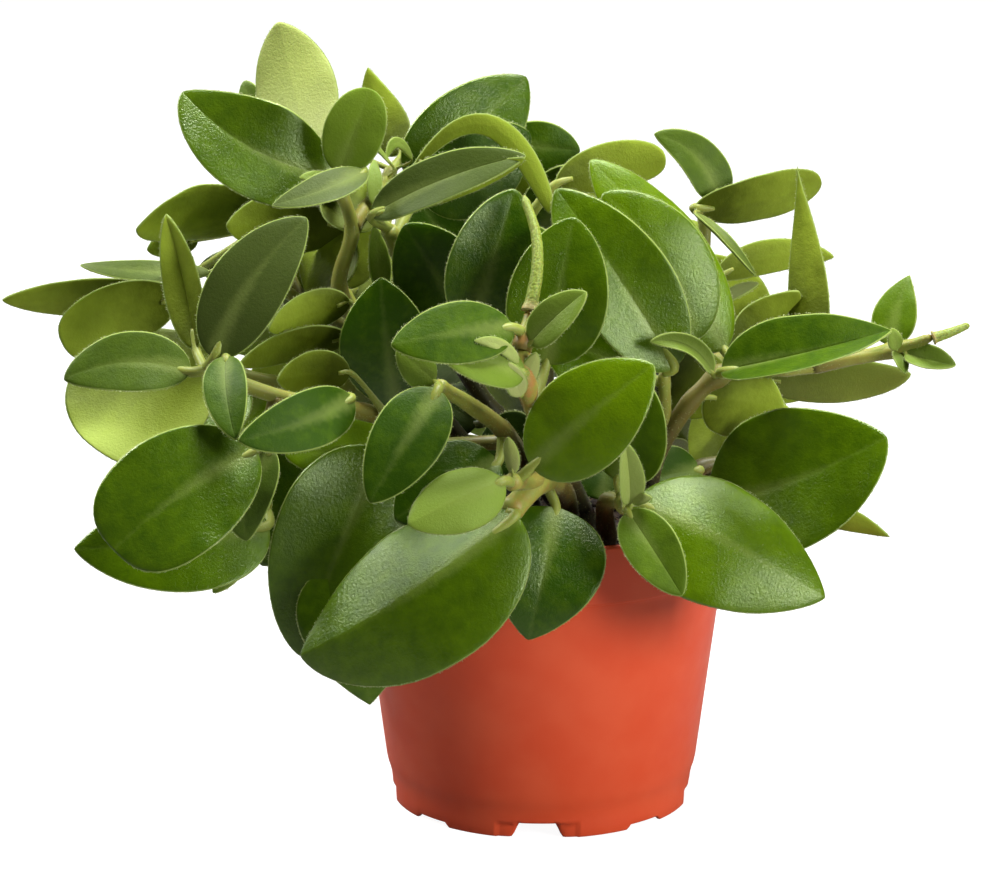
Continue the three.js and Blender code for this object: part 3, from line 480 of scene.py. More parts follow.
def leaf_frame(spec):
    base, tip = seen(*spec["base"]), seen(*spec["tip"])
    along = unit(tip - base)
    face = EYE - base
    face = unit(face - along * (face @ along))
    aside = np.cross(along, face)
    if aside @ LIFT < 0:
        aside = -aside
    turn = math.radians(spec["turn"])
    upper = face * math.cos(turn) + aside * math.sin(turn)
    return {"base": base, "tip": tip, "along": along, "upper": upper, "side": np.cross(along, upper)}


def outline(t, root, point):
    widest = root / (root + point)
    return (t / widest) ** root * ((1 - t) / (1 - widest)) ** point


def blade_surface(spec, at, t, u, lift, rise_by=0.0):
    """The points at t along and u across the leaf, raised by lift from its middle sheet."""
    t, u, lift = np.broadcast_arrays(np.asarray(t, float), np.asarray(u, float), np.asarray(lift, float))
    length = np.linalg.norm(at["tip"] - at["base"])
    up = -1.0 if at["side"] @ LIFT < 0 else 1.0
    arch = (4 * t * (1 - t) * length)[..., None]
    slope = (4 * (1 - 2 * t))[..., None]
    middle = at["base"] + (at["tip"] - at["base"]) * t[..., None]
    middle = middle + at["upper"] * spec["bow"] * arch + at["side"] * up * spec["sweep"] * arch
    ahead = unit(at["along"] + at["upper"] * spec["bow"] * slope + at["side"] * up * spec["sweep"] * slope)
    side = unit(np.cross(ahead, at["upper"]))
    above_way = np.cross(side, ahead)
    half = spec["width"] / 2
    arc = np.abs(u) * half * outline(t, spec["root"], spec["point"])
    cup = math.radians(spec["cup"] or 0.01)
    curl = cup * arc / half
    flat = half / cup * np.sin(curl)
    rise = half / cup * (1 - np.cos(curl))
    lean = math.radians(spec["fold"])
    across = flat * math.cos(lean) - rise * math.sin(lean)
    above = flat * math.sin(lean) + rise * math.cos(lean) + rise_by
    sign = np.sign(u)
    sideways = sign * across - sign * np.sin(curl + lean) * lift
    upwards = above + np.cos(curl + lean) * lift
    return middle + side * sideways[..., None] + above_way * upwards[..., None]


def add_blade(shape, hairs, spec, draw):
    at = leaf_frame(spec)
    half = spec["width"] / 2
    small = SMALL_THICKNESS if spec["width"] < SMALL_WIDTH else 1.0
    steps = np.arange(1, LEAF_STATIONS + 1) / (LEAF_STATIONS + 1)
    t = (0.5 - 0.5 * np.cos(np.pi * steps))[:, None]
    u = np.concatenate([-LEAF_COLUMNS[:0:-1], LEAF_COLUMNS])[None, :]
    reach = half * outline(t, spec["root"], spec["point"])
    # Thickest at the midrib, rounded at the margin, and thin where the blade narrows to its two ends.
    profile = np.sqrt(np.clip(1 - u**8, 0, 1)) * (EDGE_SHARE + RIB_SHARE * (1 - u**2))
    thick = BLADE_THICKNESS / 2 * small * profile * np.minimum(1, reach / NARROW) ** 0.6
    phases = draw.uniform(0, 2 * np.pi, 4)
    waves = sum(
        share * np.sin(2 * np.pi * (turns * t + shift * np.sign(u)) + phase)
        for (turns, shift, share), phase in zip(WAVES, phases)
    )
    waves = WAVE * spec["width"] * u**2 * waves * np.sin(np.pi * t)
    groove = -RIB_GROOVE * small * np.exp(-((u * reach / RIB_WIDTH) ** 2)) * np.sin(np.pi * t) ** 0.5
    upper = blade_surface(spec, at, t, u, thick, waves + groove)
    under = blade_surface(spec, at, t, u[:, 1:-1], -thick[:, 1:-1], (waves + 0.4 * groove)[:, 1:-1])
    rings = np.concatenate([upper, under[:, ::-1]], axis=1)
    base = blade_surface(spec, at, 0.0, 0.0, 0.0)
    tip = blade_surface(spec, at, 1.0, 0.0, 0.0)
    points, faces = rings_shape(rings, base, tip)

    def ends(value, first, last):
        rows = np.broadcast_to(value, (LEAF_STATIONS, u.shape[1]))
        rows = np.concatenate([rows, rows[:, 1:-1][:, ::-1]], axis=1)
        return np.concatenate([[first], rows.ravel(), [last]])

    columns = u.shape[1]
    is_upper = np.tile(np.repeat([1.0, 0.0], [columns, columns - 2]), LEAF_STATIONS)
    young, tone = spec["young"], spec["tone"]
    if young is None:
        young = min(max((YOUNG_WIDTHS[0] - spec["width"]) / YOUNG_WIDTHS[1], 0), YOUNG_MOST)
    if tone is None:
        tone = draw.uniform(*USUAL_TONES)
    glossy = spec["width"] > GLOSSY_FROM and spec["velvet"] < DOWNY_VELVET
    shape.add(
        points,
        faces,
        GLOSSY if glossy else DOWNY,
        upper=np.concatenate([[0.5], is_upper, [0.5]]),
        edge=ends((1 - np.abs(u)) * reach, 0.0, 0.0),
        rib=ends(np.abs(u) * reach, 0.0, 0.0),
        along=ends(t + 0 * u, 0.0, 1.0),
        young=young,
        tone=tone,
        velvet=spec["velvet"],
        pale=spec["pale"],
        shade=inner_shade(points),
    )
    add_margin_hairs(hairs, spec, at, draw)
    return at


def add_hairs(hairs, roots, ways, lengths):
    """Fine tapering hairs, each a slim closed spike of three sides."""
    roots, ways = np.asarray(roots), unit(np.asarray(ways))
    across = unit(np.cross(ways, [0.31, 0.57, 0.76]))
    other = np.cross(ways, across)
    thirds = (0, 2 * np.pi / 3, 4 * np.pi / 3)
    corners = [roots + HAIR_RADIUS * (math.cos(a) * across + math.sin(a) * other) for a in thirds]
    tips = roots + ways * np.asarray(lengths)[:, None]
    points = np.stack([*corners, tips], axis=1).reshape(-1, 3)
    faces = [
        tuple(4 * i + k for k in face)
        for i in range(len(roots))
        for face in ((0, 1, 3), (1, 2, 3), (2, 0, 3), (0, 2, 1))
    ]
    hairs.add(points, faces)


def add_margin_hairs(hairs, spec, at, draw):
    length = np.linalg.norm(at["tip"] - at["base"])
    count = max(int((length + MARGIN_BULGE * spec["width"]) / HAIR_SPACING), LEAST_HAIRS)
    for sign in (-1.0, 1.0):
        t = np.sort(draw.uniform(*MARGIN_SPAN, count))
        root, out, inner = (blade_surface(spec, at, t, sign * u, 0.0) for u in (HAIR_ROOT, 1.0, HAIR_WAY))
        spread = draw.normal(scale=MARGIN_SPREAD, size=(count, 3))
        way = unit(out - inner) + spread + HAIR_FORWARD * at["along"]
        add_hairs(hairs, root, way, HAIR_LENGTH * draw.uniform(*MARGIN_LENGTHS, count))


# Stems and stalks.
HOLE_DEPTH = 14.0
STRAIGHT_ABOVE = 4.0
STEM_SIDES = 14
STEP_MM = 2.0
CURVE_STEPS = 12
SWELLING = 0.16       # at a leaf's node, as a share of the radius
SWELLING_REACH = 3.2  # mm
UNEVEN = 0.03
UNEVEN_TURNS = 19
LIMB_END = 0.75       # how much a stem's very end narrows
SHOOT_RADII = (0.7, 0.45)
TRUNK_AGES, SHOOT_AGES, STALK_AGES = (0.0, 0.85), (0.45, 0.55), (1.0, 0.6)
BARE_FOOT = 6         # the trunk's first points, which carry no stalk
STALK_SIDES = 10
STALK_SHARE = 0.1     # of the leaf's width, up to STALK_RADIUS
STALK_INTO = 0.15     # how far along the leaf its stalk reaches
STALK_UNDER = 0.9     # mm under the blade's middle there
STALK_STEPS, STALK_STEP_MM = 8, 0.9
STALK_STRAIGHT = 2    # mm: a leaf that starts this near its stem has a straight stalk
STALK_WIDE, STALK_NARROWS = 1.12, 0.2    # of its radius: at its foot, and how much less at the leaf
STALK_END, STALK_END_FROM = 0.55, 0.6    # how much its end narrows besides, and from where along it
STEM_HAIRS_PER_MM = 6
STEM_HAIR_ROOT = 0.97     # of the radius
STEM_HAIR_LENGTHS, STEM_HAIR_SPREAD = (0.5, 1.3), 0.3


def even(spine, step):
    """The same line with points about one step apart."""
    lengths = np.concatenate([[0], np.cumsum(np.linalg.norm(np.diff(spine, axis=0), axis=1))])
    count = max(int(round(lengths[-1] / step)), 2)
    at = np.linspace(0, lengths[-1], count + 1)
    return np.stack([np.interp(at, lengths, spine[:, k]) for k in range(3)], axis=1)


def nearest(lines, point):
    """The point of the lines that lies nearest to the given one."""
    reach = np.concatenate(lines)
    return reach[np.argmin(np.linalg.norm(reach - point, axis=1))]


def values_along(share, sides):
    """The share along a body at each of its points."""
    return np.concatenate([[share[0]], np.repeat(share, sides), [share[-1]]])


def add_round(shape, hairs, spine, radii, sides, ages, draw, blush=0.0, wider=1.0):
    """A round body with its down. Its ages are at its foot, and how much more at its end."""
    points, faces = rings_shape(tube(spine, radii, sides), spine[0], spine[-1])
    along = ages[0] + ages[1] * values_along(np.linspace(0, 1, len(spine)), sides)
    shade = inner_shade(points, wider)
    shape.add(points, faces, STEM, along=along, tone=draw.uniform(), young=blush, shade=shade)
    add_stem_hairs(hairs, spine, radii, draw)


def add_limb(shape, hairs, spine, ends, nodes, draw, ages, blush):
    """A round stem that narrows from one radius to another and swells a little where leaves leave it."""
    spine = even(spine, STEP_MM)
    share = np.linspace(0, 1, len(spine))
    radii = ends[0] + (ends[1] - ends[0]) * share
    for node in nodes:
        gap = np.linalg.norm(spine - node, axis=1)
        radii = radii * (1 + SWELLING * np.exp(-((gap / SWELLING_REACH) ** 2)))
    radii = radii * (1 + UNEVEN * np.sin(share * UNEVEN_TURNS + draw.uniform(0, 6)))
    radii[-1] *= LIMB_END
    add_round(shape, hairs, spine, radii, STEM_SIDES, ages, draw, blush, LIMB_SHADE)


def add_stem_hairs(hairs, spine, radii, draw):
    length = np.linalg.norm(np.diff(spine, axis=0), axis=1).sum()
    count = int(length * STEM_HAIRS_PER_MM)
    ahead = unit(np.gradient(spine, axis=0))
    place = draw.uniform(0, len(spine) - 1.001, count)
    low = place.astype(int)
    part = (place - low)[:, None]
    centre = spine[low] * (1 - part) + spine[low + 1] * part
    radius = radii[low] * (1 - part[:, 0]) + radii[low + 1] * part[:, 0]
    around = draw.normal(size=(count, 3))
    out = unit(around - ahead[low] * np.sum(around * ahead[low], axis=1)[:, None])
    keep = centre[:, 2] > SOIL_LEVEL
    way = out + draw.normal(scale=STEM_HAIR_SPREAD, size=(count, 3))
    roots = centre + out * (radius * STEM_HAIR_ROOT)[:, None]
    lengths = HAIR_LENGTH * draw.uniform(*STEM_HAIR_LENGTHS, count)
    add_hairs(hairs, roots[keep], way[keep], lengths[keep])


def add_stalk(shape, hairs, spec, at, spines, draw):
    into = blade_surface(spec, at, STALK_INTO, 0.0, -STALK_UNDER)
    start = nearest(spines, at["base"])
    radius = min(STALK_RADIUS, STALK_SHARE * spec["width"])
    near = np.linalg.norm(start - at["base"]) < STALK_STRAIGHT
    spine = even(smooth([start, into] if near else [start, at["base"], into], STALK_STEPS), STALK_STEP_MM)
    share = np.linspace(0, 1, len(spine))
    end = np.clip((share - STALK_END_FROM) / (1 - STALK_END_FROM), 0, 1)
    radii = radius * (STALK_WIDE - STALK_NARROWS * share) * (1 - STALK_END * end**2)
    add_round(shape, hairs, spine, radii, STALK_SIDES, STALK_AGES, draw)


def leafy_stem(name, spec, materials, hair, draw):
    """One stem with its shoots, stalks and leaves, and the down on them as a piece of its own."""
    shape, hairs = Shape(), Shape()
    foot = np.array([*spec["foot"], 0.0])
    bottom, top = foot + [0, 0, SOIL_LEVEL - HOLE_DEPTH], foot + [0, 0, SOIL_LEVEL + STRAIGHT_ABOVE]
    trunk = smooth([top, *(seen(*p) for p in spec["course"])], CURVE_STEPS)
    shoots = [smooth([seen(*p) for p in points], CURVE_STEPS) for points in spec["shoots"]]
    nodes = [nearest([trunk, *shoots], seen(*each["base"])) for each in spec["leaves"]]
    thick, blush = spec["thick"], spec["blush"]
    whole = np.concatenate([[bottom], trunk])
    add_limb(shape, hairs, whole, (thick, spec["slim"] * thick), nodes, draw, TRUNK_AGES, blush)
    for spine in shoots:
        radii = [share * thick for share in SHOOT_RADII]
        add_limb(shape, hairs, spine, radii, nodes, draw, SHOOT_AGES, blush)
    for each in spec["leaves"]:
        at = add_blade(shape, hairs, each, draw)
        add_stalk(shape, hairs, each, at, [trunk[BARE_FOOT:], *shoots], draw)
    piece = shape.mesh_object("leafy_" + name, materials)
    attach(piece, "root")
    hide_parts("stem_" + name)
    down = hairs.mesh_object("down_" + name, [hair])
    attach(down, "root")


# Flower spikes: rat-tails whose tiny florets stand in steep spirals, made here as random bumps on a tube.
SPIKES = {
    "flower_spike_centre": {
        "course": [(530, 311, 92), (537, 270, 92), (536, 235, 90), (524, 196, 86)],
        "radius": 2.1,
    },
    "flower_spike_right": {"course": [(933, 338, 58), (949, 333, 58), (969, 325, 57)], "radius": 1.7},
}
FLORET = 0.07         # mm
FLORET_MOST = 1.6     # how many times FLORET one stands out or in at most
SPIKE_SIDES = 40
SPIKE_STEP = 0.28
SPIKE_TAPER = 0.42
SPIKE_TIP = 0.06      # the share of its length that is rounded off
SPIKE_COLLAR = {"wider": 0.3, "share": 0.05}


def flower_spike(name, spec, material, draw):
    spine = even(smooth([seen(*p) for p in spec["course"]], CURVE_STEPS), SPIKE_STEP)
    share = np.linspace(0, 1, len(spine))
    radii = spec["radius"] * (1 - SPIKE_TAPER * share)
    radii *= np.clip((1 - share) / SPIKE_TIP, 0.2, 1) ** 0.5
    radii *= 1 + SPIKE_COLLAR["wider"] * np.exp(-((share / SPIKE_COLLAR["share"]) ** 2))
    rings = tube(spine, radii, SPIKE_SIDES)
    bumps = FLORET * np.clip(draw.normal(size=rings.shape[:2]), -FLORET_MOST, FLORET_MOST)
    rings = rings + unit(rings - spine[:, None, :]) * bumps[..., None]
    points, faces = rings_shape(rings, spine[0], spine[-1])
    shape = Shape()
    flat = np.concatenate([[0], (bumps / FLORET).ravel(), [0]])
    shape.add(points, faces, bump=flat, along=values_along(share, SPIKE_SIDES))
    piece = shape.mesh_object(name + "_fine", [material])
    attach(piece, "root")
    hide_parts(name)


# The pot.
WALL_SLOPE = 0.13
BAND_STEP = 1.1
POT_FLOOR = 1.8
POT_FEET = 8
FEET_ROTATION = -92.0
POT_SIDES = 360
DEEP_GAP, SHALLOW_GAP = (8.7, 5.3), (7.2, 6.2)
SHALLOW_HEIGHT = 1.5
LIP_WIDE, LIP_STEP, LIP_TURN = 13.3, 0.6, 2.4
LIP_EDGE = 0.45
DRAIN_RADIUS = 4.0
DRAIN_INSET = 10.0
DRAIN_SIDES = 28
DRAIN_HEIGHTS = (-4, 0, 3)   # from the top of the floor
FOOT_SECTION = [
    (-2.5, 5.0), (-2.45, 4.5), (-2.0, 0.7), (-1.8, 0.15), (-1.5, 0.0), (-0.6, 0.0), (-0.3, 0.15), (-0.15, 0.6),
    (0.0, 3.0), (0.04, 4.5), (0.06, 5.0), (0.1, 6.0),
]                            # out from FOOT_RADIUS and up from the ground
BAND_SECTION = [(-0.3, 0.15), (-0.05, 0.4), (0.03, 0.9)]   # out from the band's step and up from its foot
LIP_ROUND = (0.2, 2.9, 9)    # the rim's rounding, from one angle to another in radians, and its points


def wall_at(z):
    return FOOT_RADIUS + WALL_SLOPE * z


def pot_profile():
    """(radius, height) from the middle of the floor's underside, out, up, over the rim and back inside."""
    band, top, under = POT_HEIGHT - RIM_BAND, POT_HEIGHT, FLOOR_TOP - POT_FLOOR
    points = [(2.0, under), (FOOT_RADIUS - 3.4, under), (FOOT_RADIUS - 3.0, under - 0.4)]
    points += [(FOOT_RADIUS + out, height) for out, height in FOOT_SECTION]
    points += [(FOOT_RADIUS + 0.3, FLOOR_TOP - 1.3), (FOOT_RADIUS + 0.75, FLOOR_TOP + 0.6)]
    points += [(wall_at(FLOOR_TOP + 2.4) - 0.18, FLOOR_TOP + 2.4), (wall_at(FLOOR_TOP + 4.5), FLOOR_TOP + 4.5)]
    points += [(wall_at(z), z) for z in np.linspace(FLOOR_TOP + 8, band - 1.5, 10)]
    points += [(wall_at(band) - 0.02, band - 0.25), (wall_at(band) + 0.12, band)]
    points += [(wall_at(band) + BAND_STEP + out, band + up) for out, up in BAND_SECTION]
    points += [(RIM_RADIUS - 0.06, top - 3), (RIM_RADIUS + 0.1, top - 1.2)]
    turns = np.linspace(*LIP_ROUND)
    points += [(RIM_RADIUS - 0.95 + 1.05 * math.cos(a), top - 1.0 + math.sin(a)) for a in turns]
    points += [(RIM_RADIUS - 2.1, top - 1.6), (wall_at(band) - WALL, band)]
    points += [(wall_at(FLOOR_TOP + 2) - WALL, FLOOR_TOP + 2), (wall_at(FLOOR_TOP) - WALL - 1.2, FLOOR_TOP)]
    points += [(2.0, FLOOR_TOP)]
    return np.array(points)


def nearest_gap(angle):
    """How many mm round the foot that angle lies from the nearest gap, and whether it is a deep one."""
    turned = (angle - math.radians(FEET_ROTATION)) * POT_FEET / (2 * np.pi)
    nearest = np.round(turned)
    return np.abs(turned - nearest) * 2 * np.pi / POT_FEET * FOOT_RADIUS, nearest % 2 == 0


def notch_height(angle):
    """How high the foot is cut away at that angle: deep and shallow gaps with sloping sides take turns."""
    across, deep = nearest_gap(angle)
    wide, narrow = (np.where(deep, *pair) for pair in zip(DEEP_GAP, SHALLOW_GAP))
    share = np.clip((wide - across) / (wide - narrow), 0, 1)
    return np.where(deep, FOOT_HEIGHT, SHALLOW_HEIGHT) * share * share * (3 - 2 * share)


def lip_depth(angle):
    """How far the foot is set back at that angle: beside a deep gap it has a lip that turns inwards."""
    across, deep = nearest_gap(angle)
    share = np.clip((LIP_WIDE - across) / (LIP_WIDE - DEEP_GAP[1]), 0, 1)
    step = np.clip((LIP_WIDE - across) / LIP_EDGE, 0, 1)
    return np.where(deep, LIP_STEP * step + LIP_TURN * (1 - np.sqrt(1 - share**2)), 0)


def fine_pot(material):
    profile = pot_profile()
    angles = 2 * np.pi * np.arange(POT_SIDES) / POT_SIDES
    cut = notch_height(angles)[None, :]
    radius, height = profile[:, :1], profile[:, 1:]
    full = FLOOR_TOP - POT_FLOOR - 0.4
    squeezed = np.where(height < full, cut + height * (full - cut) / full, height)
    lip = lip_depth(angles)[None, :] * np.clip((FOOT_HEIGHT - squeezed) / LIP_EDGE, 0, 1)
    radius = np.where(radius > FOOT_RADIUS / 2, radius - lip, radius)
    rings = np.stack([radius * np.cos(angles), radius * np.sin(angles), squeezed], axis=-1)
    count = len(profile)
    size = POT_SIDES
    points = np.concatenate([rings.reshape(-1, 3), [[0, 0, profile[0, 1]], [0, 0, profile[-1, 1]]]])
    faces = side_faces(count, size, 0)
    faces += foot_faces(count * size, 0, size)
    faces += cap_faces(count * size + 1, (count - 1) * size, size)
    # Painted shade: the wall's inside above the compost, darker further down, and the floor's middle.
    inner = (profile[:, 1] > FLOOR_TOP) & (profile[:, 0] < wall_at(profile[:, 1]) - WALL / 2)
    inner_painted_shade = inner * np.clip((POT_HEIGHT + 1 - profile[:, 1]) / (POT_HEIGHT - SOIL_LEVEL), 0, 1)
    shape = Shape()
    shape.add(points, faces, shade=np.concatenate([np.repeat(inner_painted_shade, size), [0, 1]]))
    pot = shape.mesh_object("pot_fine", [material])
    cut_drains(pot)
    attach(pot, "root")
    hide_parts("pot")


def cut_drains(pot):
    """Bores the drain holes through the pot's floor and applies the cut."""
    cutters = Shape()
    for k in range(POT_FEET):
        angle = math.radians(FEET_ROTATION) + 2 * np.pi * k / POT_FEET
        centre = (FOOT_RADIUS - DRAIN_INSET) * np.array([math.cos(angle), math.sin(angle), 0.0])
        spine = [centre + [0, 0, FLOOR_TOP + z] for z in DRAIN_HEIGHTS]
        rings = tube(spine, [DRAIN_RADIUS] * len(spine), DRAIN_SIDES)
        points, faces = rings_shape(rings, spine[0], spine[-1])
        cutters.add(points, faces)
    cutter = cutters.mesh_object("drain_cutter", [])
    bpy.context.view_layer.objects.active = pot
    cut = pot.modifiers.new("drains", "BOOLEAN")
    cut.object = cutter
    cut.operation = "DIFFERENCE"
    cut.solver = "EXACT"
    bpy.ops.object.modifier_apply(modifier=cut.name)
    bpy.data.objects.remove(cutter)


# Compost. The materials of its piece are in this order.
COMPOST, GRAIN = 0, 1
SOIL_HEAP = 2.5
SOIL_INSET = 0.3      # mm between the compost and the pot
SOIL_SINKS = 3        # mm that its edge lies under SOIL_LEVEL
SOIL_RINGS, SOIL_SPOKES = 46, 150
SOIL_BUMPS = ((9.0, 1.3, 0.3), (2.6, 0.9, 2.0), (1.1, 0.4, 5.0))   # size, height and layer of the noise
CRUMBS = ((COMPOST, 900, 0.5, 2.3, 0.5), (GRAIN, 36, 0.4, 1.0, 1.0))   # material, count, sizes, shade
CRUMB_RINGS, CRUMB_SIDES = 5, 8
CRUMB_SQUASH, CRUMB_ROUGH, CRUMB_SHADES = (0.55, 1.0), (0.75, 1.15), (0.4, 1.0)
CRUMB_POWER = 2.2     # the higher, the fewer large ones
CRUMB_CLEAR, CRUMB_RAISED = 1.3, 0.25   # of its size: kept clear of the pot, and raised from the compost
FIBRES = 130
FIBRE_LENGTHS = (3, 11)
FIBRE_RADII = (0.12, 0.32)
FIBRE_BEND = 0.8
FIBRE_ARCH = 0.5
FIBRE_SHADES = (0.6, 1.2)


def soil_edge(z):
    return wall_at(min(z, POT_HEIGHT - RIM_BAND)) - WALL - SOIL_INSET


SOIL_REACH = soil_edge(SOIL_LEVEL - 4)


def soil_height(x, y):
    share = math.hypot(x, y) / SOIL_REACH
    rough = sum(noise.noise(Vector((x / size, y / size, layer))) * tall for size, tall, layer in SOIL_BUMPS)
    calm = min(1, (1.02 - share) * 12)   # less rough beside the pot
    return SOIL_LEVEL - SOIL_SINKS + SOIL_HEAP * (1 - share * share) + rough * calm


def lump(centre, size, draw):
    """A small irregular clod: a ball of few rings, pushed in and out."""
    squash = draw.uniform(*CRUMB_SQUASH, 3) * size
    lat = np.pi * (np.arange(1, CRUMB_RINGS + 1)) / (CRUMB_RINGS + 1)
    lon = 2 * np.pi * np.arange(CRUMB_SIDES) / CRUMB_SIDES
    level = np.outer(np.cos(lat), np.ones(CRUMB_SIDES))
    ball = np.stack([np.outer(np.sin(lat), np.cos(lon)), np.outer(np.sin(lat), np.sin(lon)), level], axis=-1)
    ball = ball * squash * draw.uniform(*CRUMB_ROUGH, (CRUMB_RINGS, CRUMB_SIDES, 1))
    turn = np.array(Matrix.Rotation(draw.uniform(0, 6.3), 3, Vector(draw.normal(size=3)).normalized()))
    ball = ball @ turn.T + centre
    top, low = centre + turn @ [0, 0, squash[2]], centre - turn @ [0, 0, squash[2]]
    return rings_shape(ball, top, low)


def add_heap(shape):
    """The body of the compost, from the pot's floor to its rough top."""
    bottom = FLOOR_TOP + 0.3
    angles = 2 * np.pi * np.arange(SOIL_SPOKES) / SOIL_SPOKES
    circle = np.stack([np.cos(angles), np.sin(angles)], axis=1)
    level = lambda radius, z: np.concatenate([circle * radius, np.full((SOIL_SPOKES, 1), z)], axis=1)
    rings = [level(soil_edge(bottom), bottom), level(SOIL_REACH, SOIL_LEVEL - 4.2)]
    for i in range(SOIL_RINGS, 0, -1):
        flat = circle * ((SOIL_REACH - 0.1) * i / SOIL_RINGS)
        heights = [[soil_height(x, y)] for x, y in flat]
        rings.append(np.concatenate([flat, heights], axis=1))
    top = np.array([0, 0, soil_height(0, 0)])
    points, faces = rings_shape(np.array(rings), np.array([0, 0, bottom]), top)
    shape.add(points, faces, COMPOST, shade=0.3)


def add_crumbs(shape, draw):
    """Clods and pale grains, strewn over the compost."""
    for kind, count, least, most, shade in CRUMBS:
        for _ in range(count):
            size = least + (most - least) * draw.uniform() ** CRUMB_POWER
            radius = (SOIL_REACH - CRUMB_CLEAR * size) * math.sqrt(draw.uniform())
            angle = draw.uniform(0, 2 * math.pi)
            x, y = radius * math.cos(angle), radius * math.sin(angle)
            points, faces = lump(np.array([x, y, soil_height(x, y) + CRUMB_RAISED * size]), size, draw)
            shape.add(points, faces, kind, shade=shade * draw.uniform(*CRUMB_SHADES))


def add_fibres(shape, draw):
    """Thin bent fibres that lie on the compost."""
    for _ in range(FIBRES):
        length = draw.uniform(*FIBRE_LENGTHS)
        radius = (SOIL_REACH - length) * math.sqrt(draw.uniform())
        angle, heading = draw.uniform(0, 2 * math.pi, 2)
        x, y = radius * math.cos(angle), radius * math.sin(angle)
        bend = draw.uniform(-FIBRE_BEND, FIBRE_BEND)
        knots = []
        for s in np.linspace(0, 1, 4):
            px = x + length * (s - 0.5) * math.cos(heading + bend * s)
            py = y + length * (s - 0.5) * math.sin(heading + bend * s)
            knots.append(np.array([px, py, soil_height(px, py) + FIBRE_ARCH * math.sin(math.pi * s)]))
        spine = smooth(knots, 3)
        thick = draw.uniform(*FIBRE_RADII)
        points, faces = rings_shape(tube(spine, [thick] * len(spine), 4), spine[0], spine[-1])
        shape.add(points, faces, COMPOST, shade=draw.uniform(*FIBRE_SHADES))


def compost(materials, draw):
    shape = Shape()
    add_heap(shape)
    add_crumbs(shape, draw)
    add_fibres(shape, draw)
    piece = shape.mesh_object("compost_fine", materials)
    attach(piece, "root")
    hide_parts("soil")


class Paint:
    """Builds one node material: each method adds a node and returns its result."""

    def __init__(self, name):
        self.material = bpy.data.materials.new(name)
        self.material.use_nodes = True
        self.tree = self.material.node_tree
        self.shader = self.tree.nodes["Principled BSDF"]

    def put(self, socket, value):
        if isinstance(value, bpy.types.NodeSocket):
            self.tree.links.new(value, socket)
        elif isinstance(value, tuple) and len(value) == 3 and len(getattr(socket, "default_value", ())) == 4:
            socket.default_value = (*value, 1.0)
        else:
            socket.default_value = value

    def value(self, name):
        node = self.tree.nodes.new("ShaderNodeAttribute")
        node.attribute_name = name
        return node.outputs["Fac"]

    def math(self, operation, first, second=0.5):
        node = self.tree.nodes.new("ShaderNodeMath")
        node.operation = operation
        self.put(node.inputs[0], first)
        self.put(node.inputs[1], second)
        return node.outputs[0]

    def step(self, value, low, high, result=(0.0, 1.0)):
        """Smoothly from result[0] where value is low to result[1] where it is high."""
        node = self.tree.nodes.new("ShaderNodeMapRange")
        node.interpolation_type = "SMOOTHSTEP"
        self.put(node.inputs["Value"], value)
        for socket, number in zip(("From Min", "From Max", "To Min", "To Max"), (low, high, *result)):
            self.put(node.inputs[socket], number)
        return node.outputs[0]

    def mix(self, share, first, second):
        node = self.tree.nodes.new("ShaderNodeMix")
        node.data_type = "RGBA"
        colours = [s for s in node.inputs if s.type == "RGBA"]
        self.put(node.inputs[0], share)
        self.put(colours[0], first)
        self.put(colours[1], second)
        return next(s for s in node.outputs if s.type == "RGBA")

    def noise(self, size_mm, detail=2.0, rough=0.5):
        place = self.tree.nodes.new("ShaderNodeTexCoord")
        node = self.tree.nodes.new("ShaderNodeTexNoise")
        self.put(node.inputs["Vector"], place.outputs["Object"])
        self.put(node.inputs["Scale"], 1 / (size_mm * MM))
        self.put(node.inputs["Detail"], detail)
        self.put(node.inputs["Roughness"], rough)
        return node.outputs["Fac"]

    def bump(self, height, depth_mm, strength=1.0, under=None):
        node = self.tree.nodes.new("ShaderNodeBump")
        self.put(node.inputs["Strength"], strength)
        self.put(node.inputs["Distance"], depth_mm * MM)
        self.put(node.inputs["Height"], height)
        if under is not None:
            self.put(node.inputs["Normal"], under)
        return node.outputs["Normal"]

    def finish(self, **inputs):
        for name, value in inputs.items():
            self.put(self.shader.inputs[name.replace("_", " ")], value)
        return self.material


OLD_GREEN = (0.024, 0.066, 0.0002)
MID_GREEN = (0.130, 0.230, 0.0006)
YOUNG_GREEN = (0.230, 0.330, 0.045)
RIB_GREEN = (0.270, 0.340, 0.080)
VELVET_SHEEN = (0.062, 0.084, 0.018)
CREAM = (0.440, 0.480, 0.170)
UNDER_DARK = (0.075, 0.100, 0.003)
UNDER_BRIGHT = (0.330, 0.430, 0.035)
MARGIN = (0.290, 0.375, 0.085)
BLACK_GREEN = (0.004, 0.008, 0.0005)


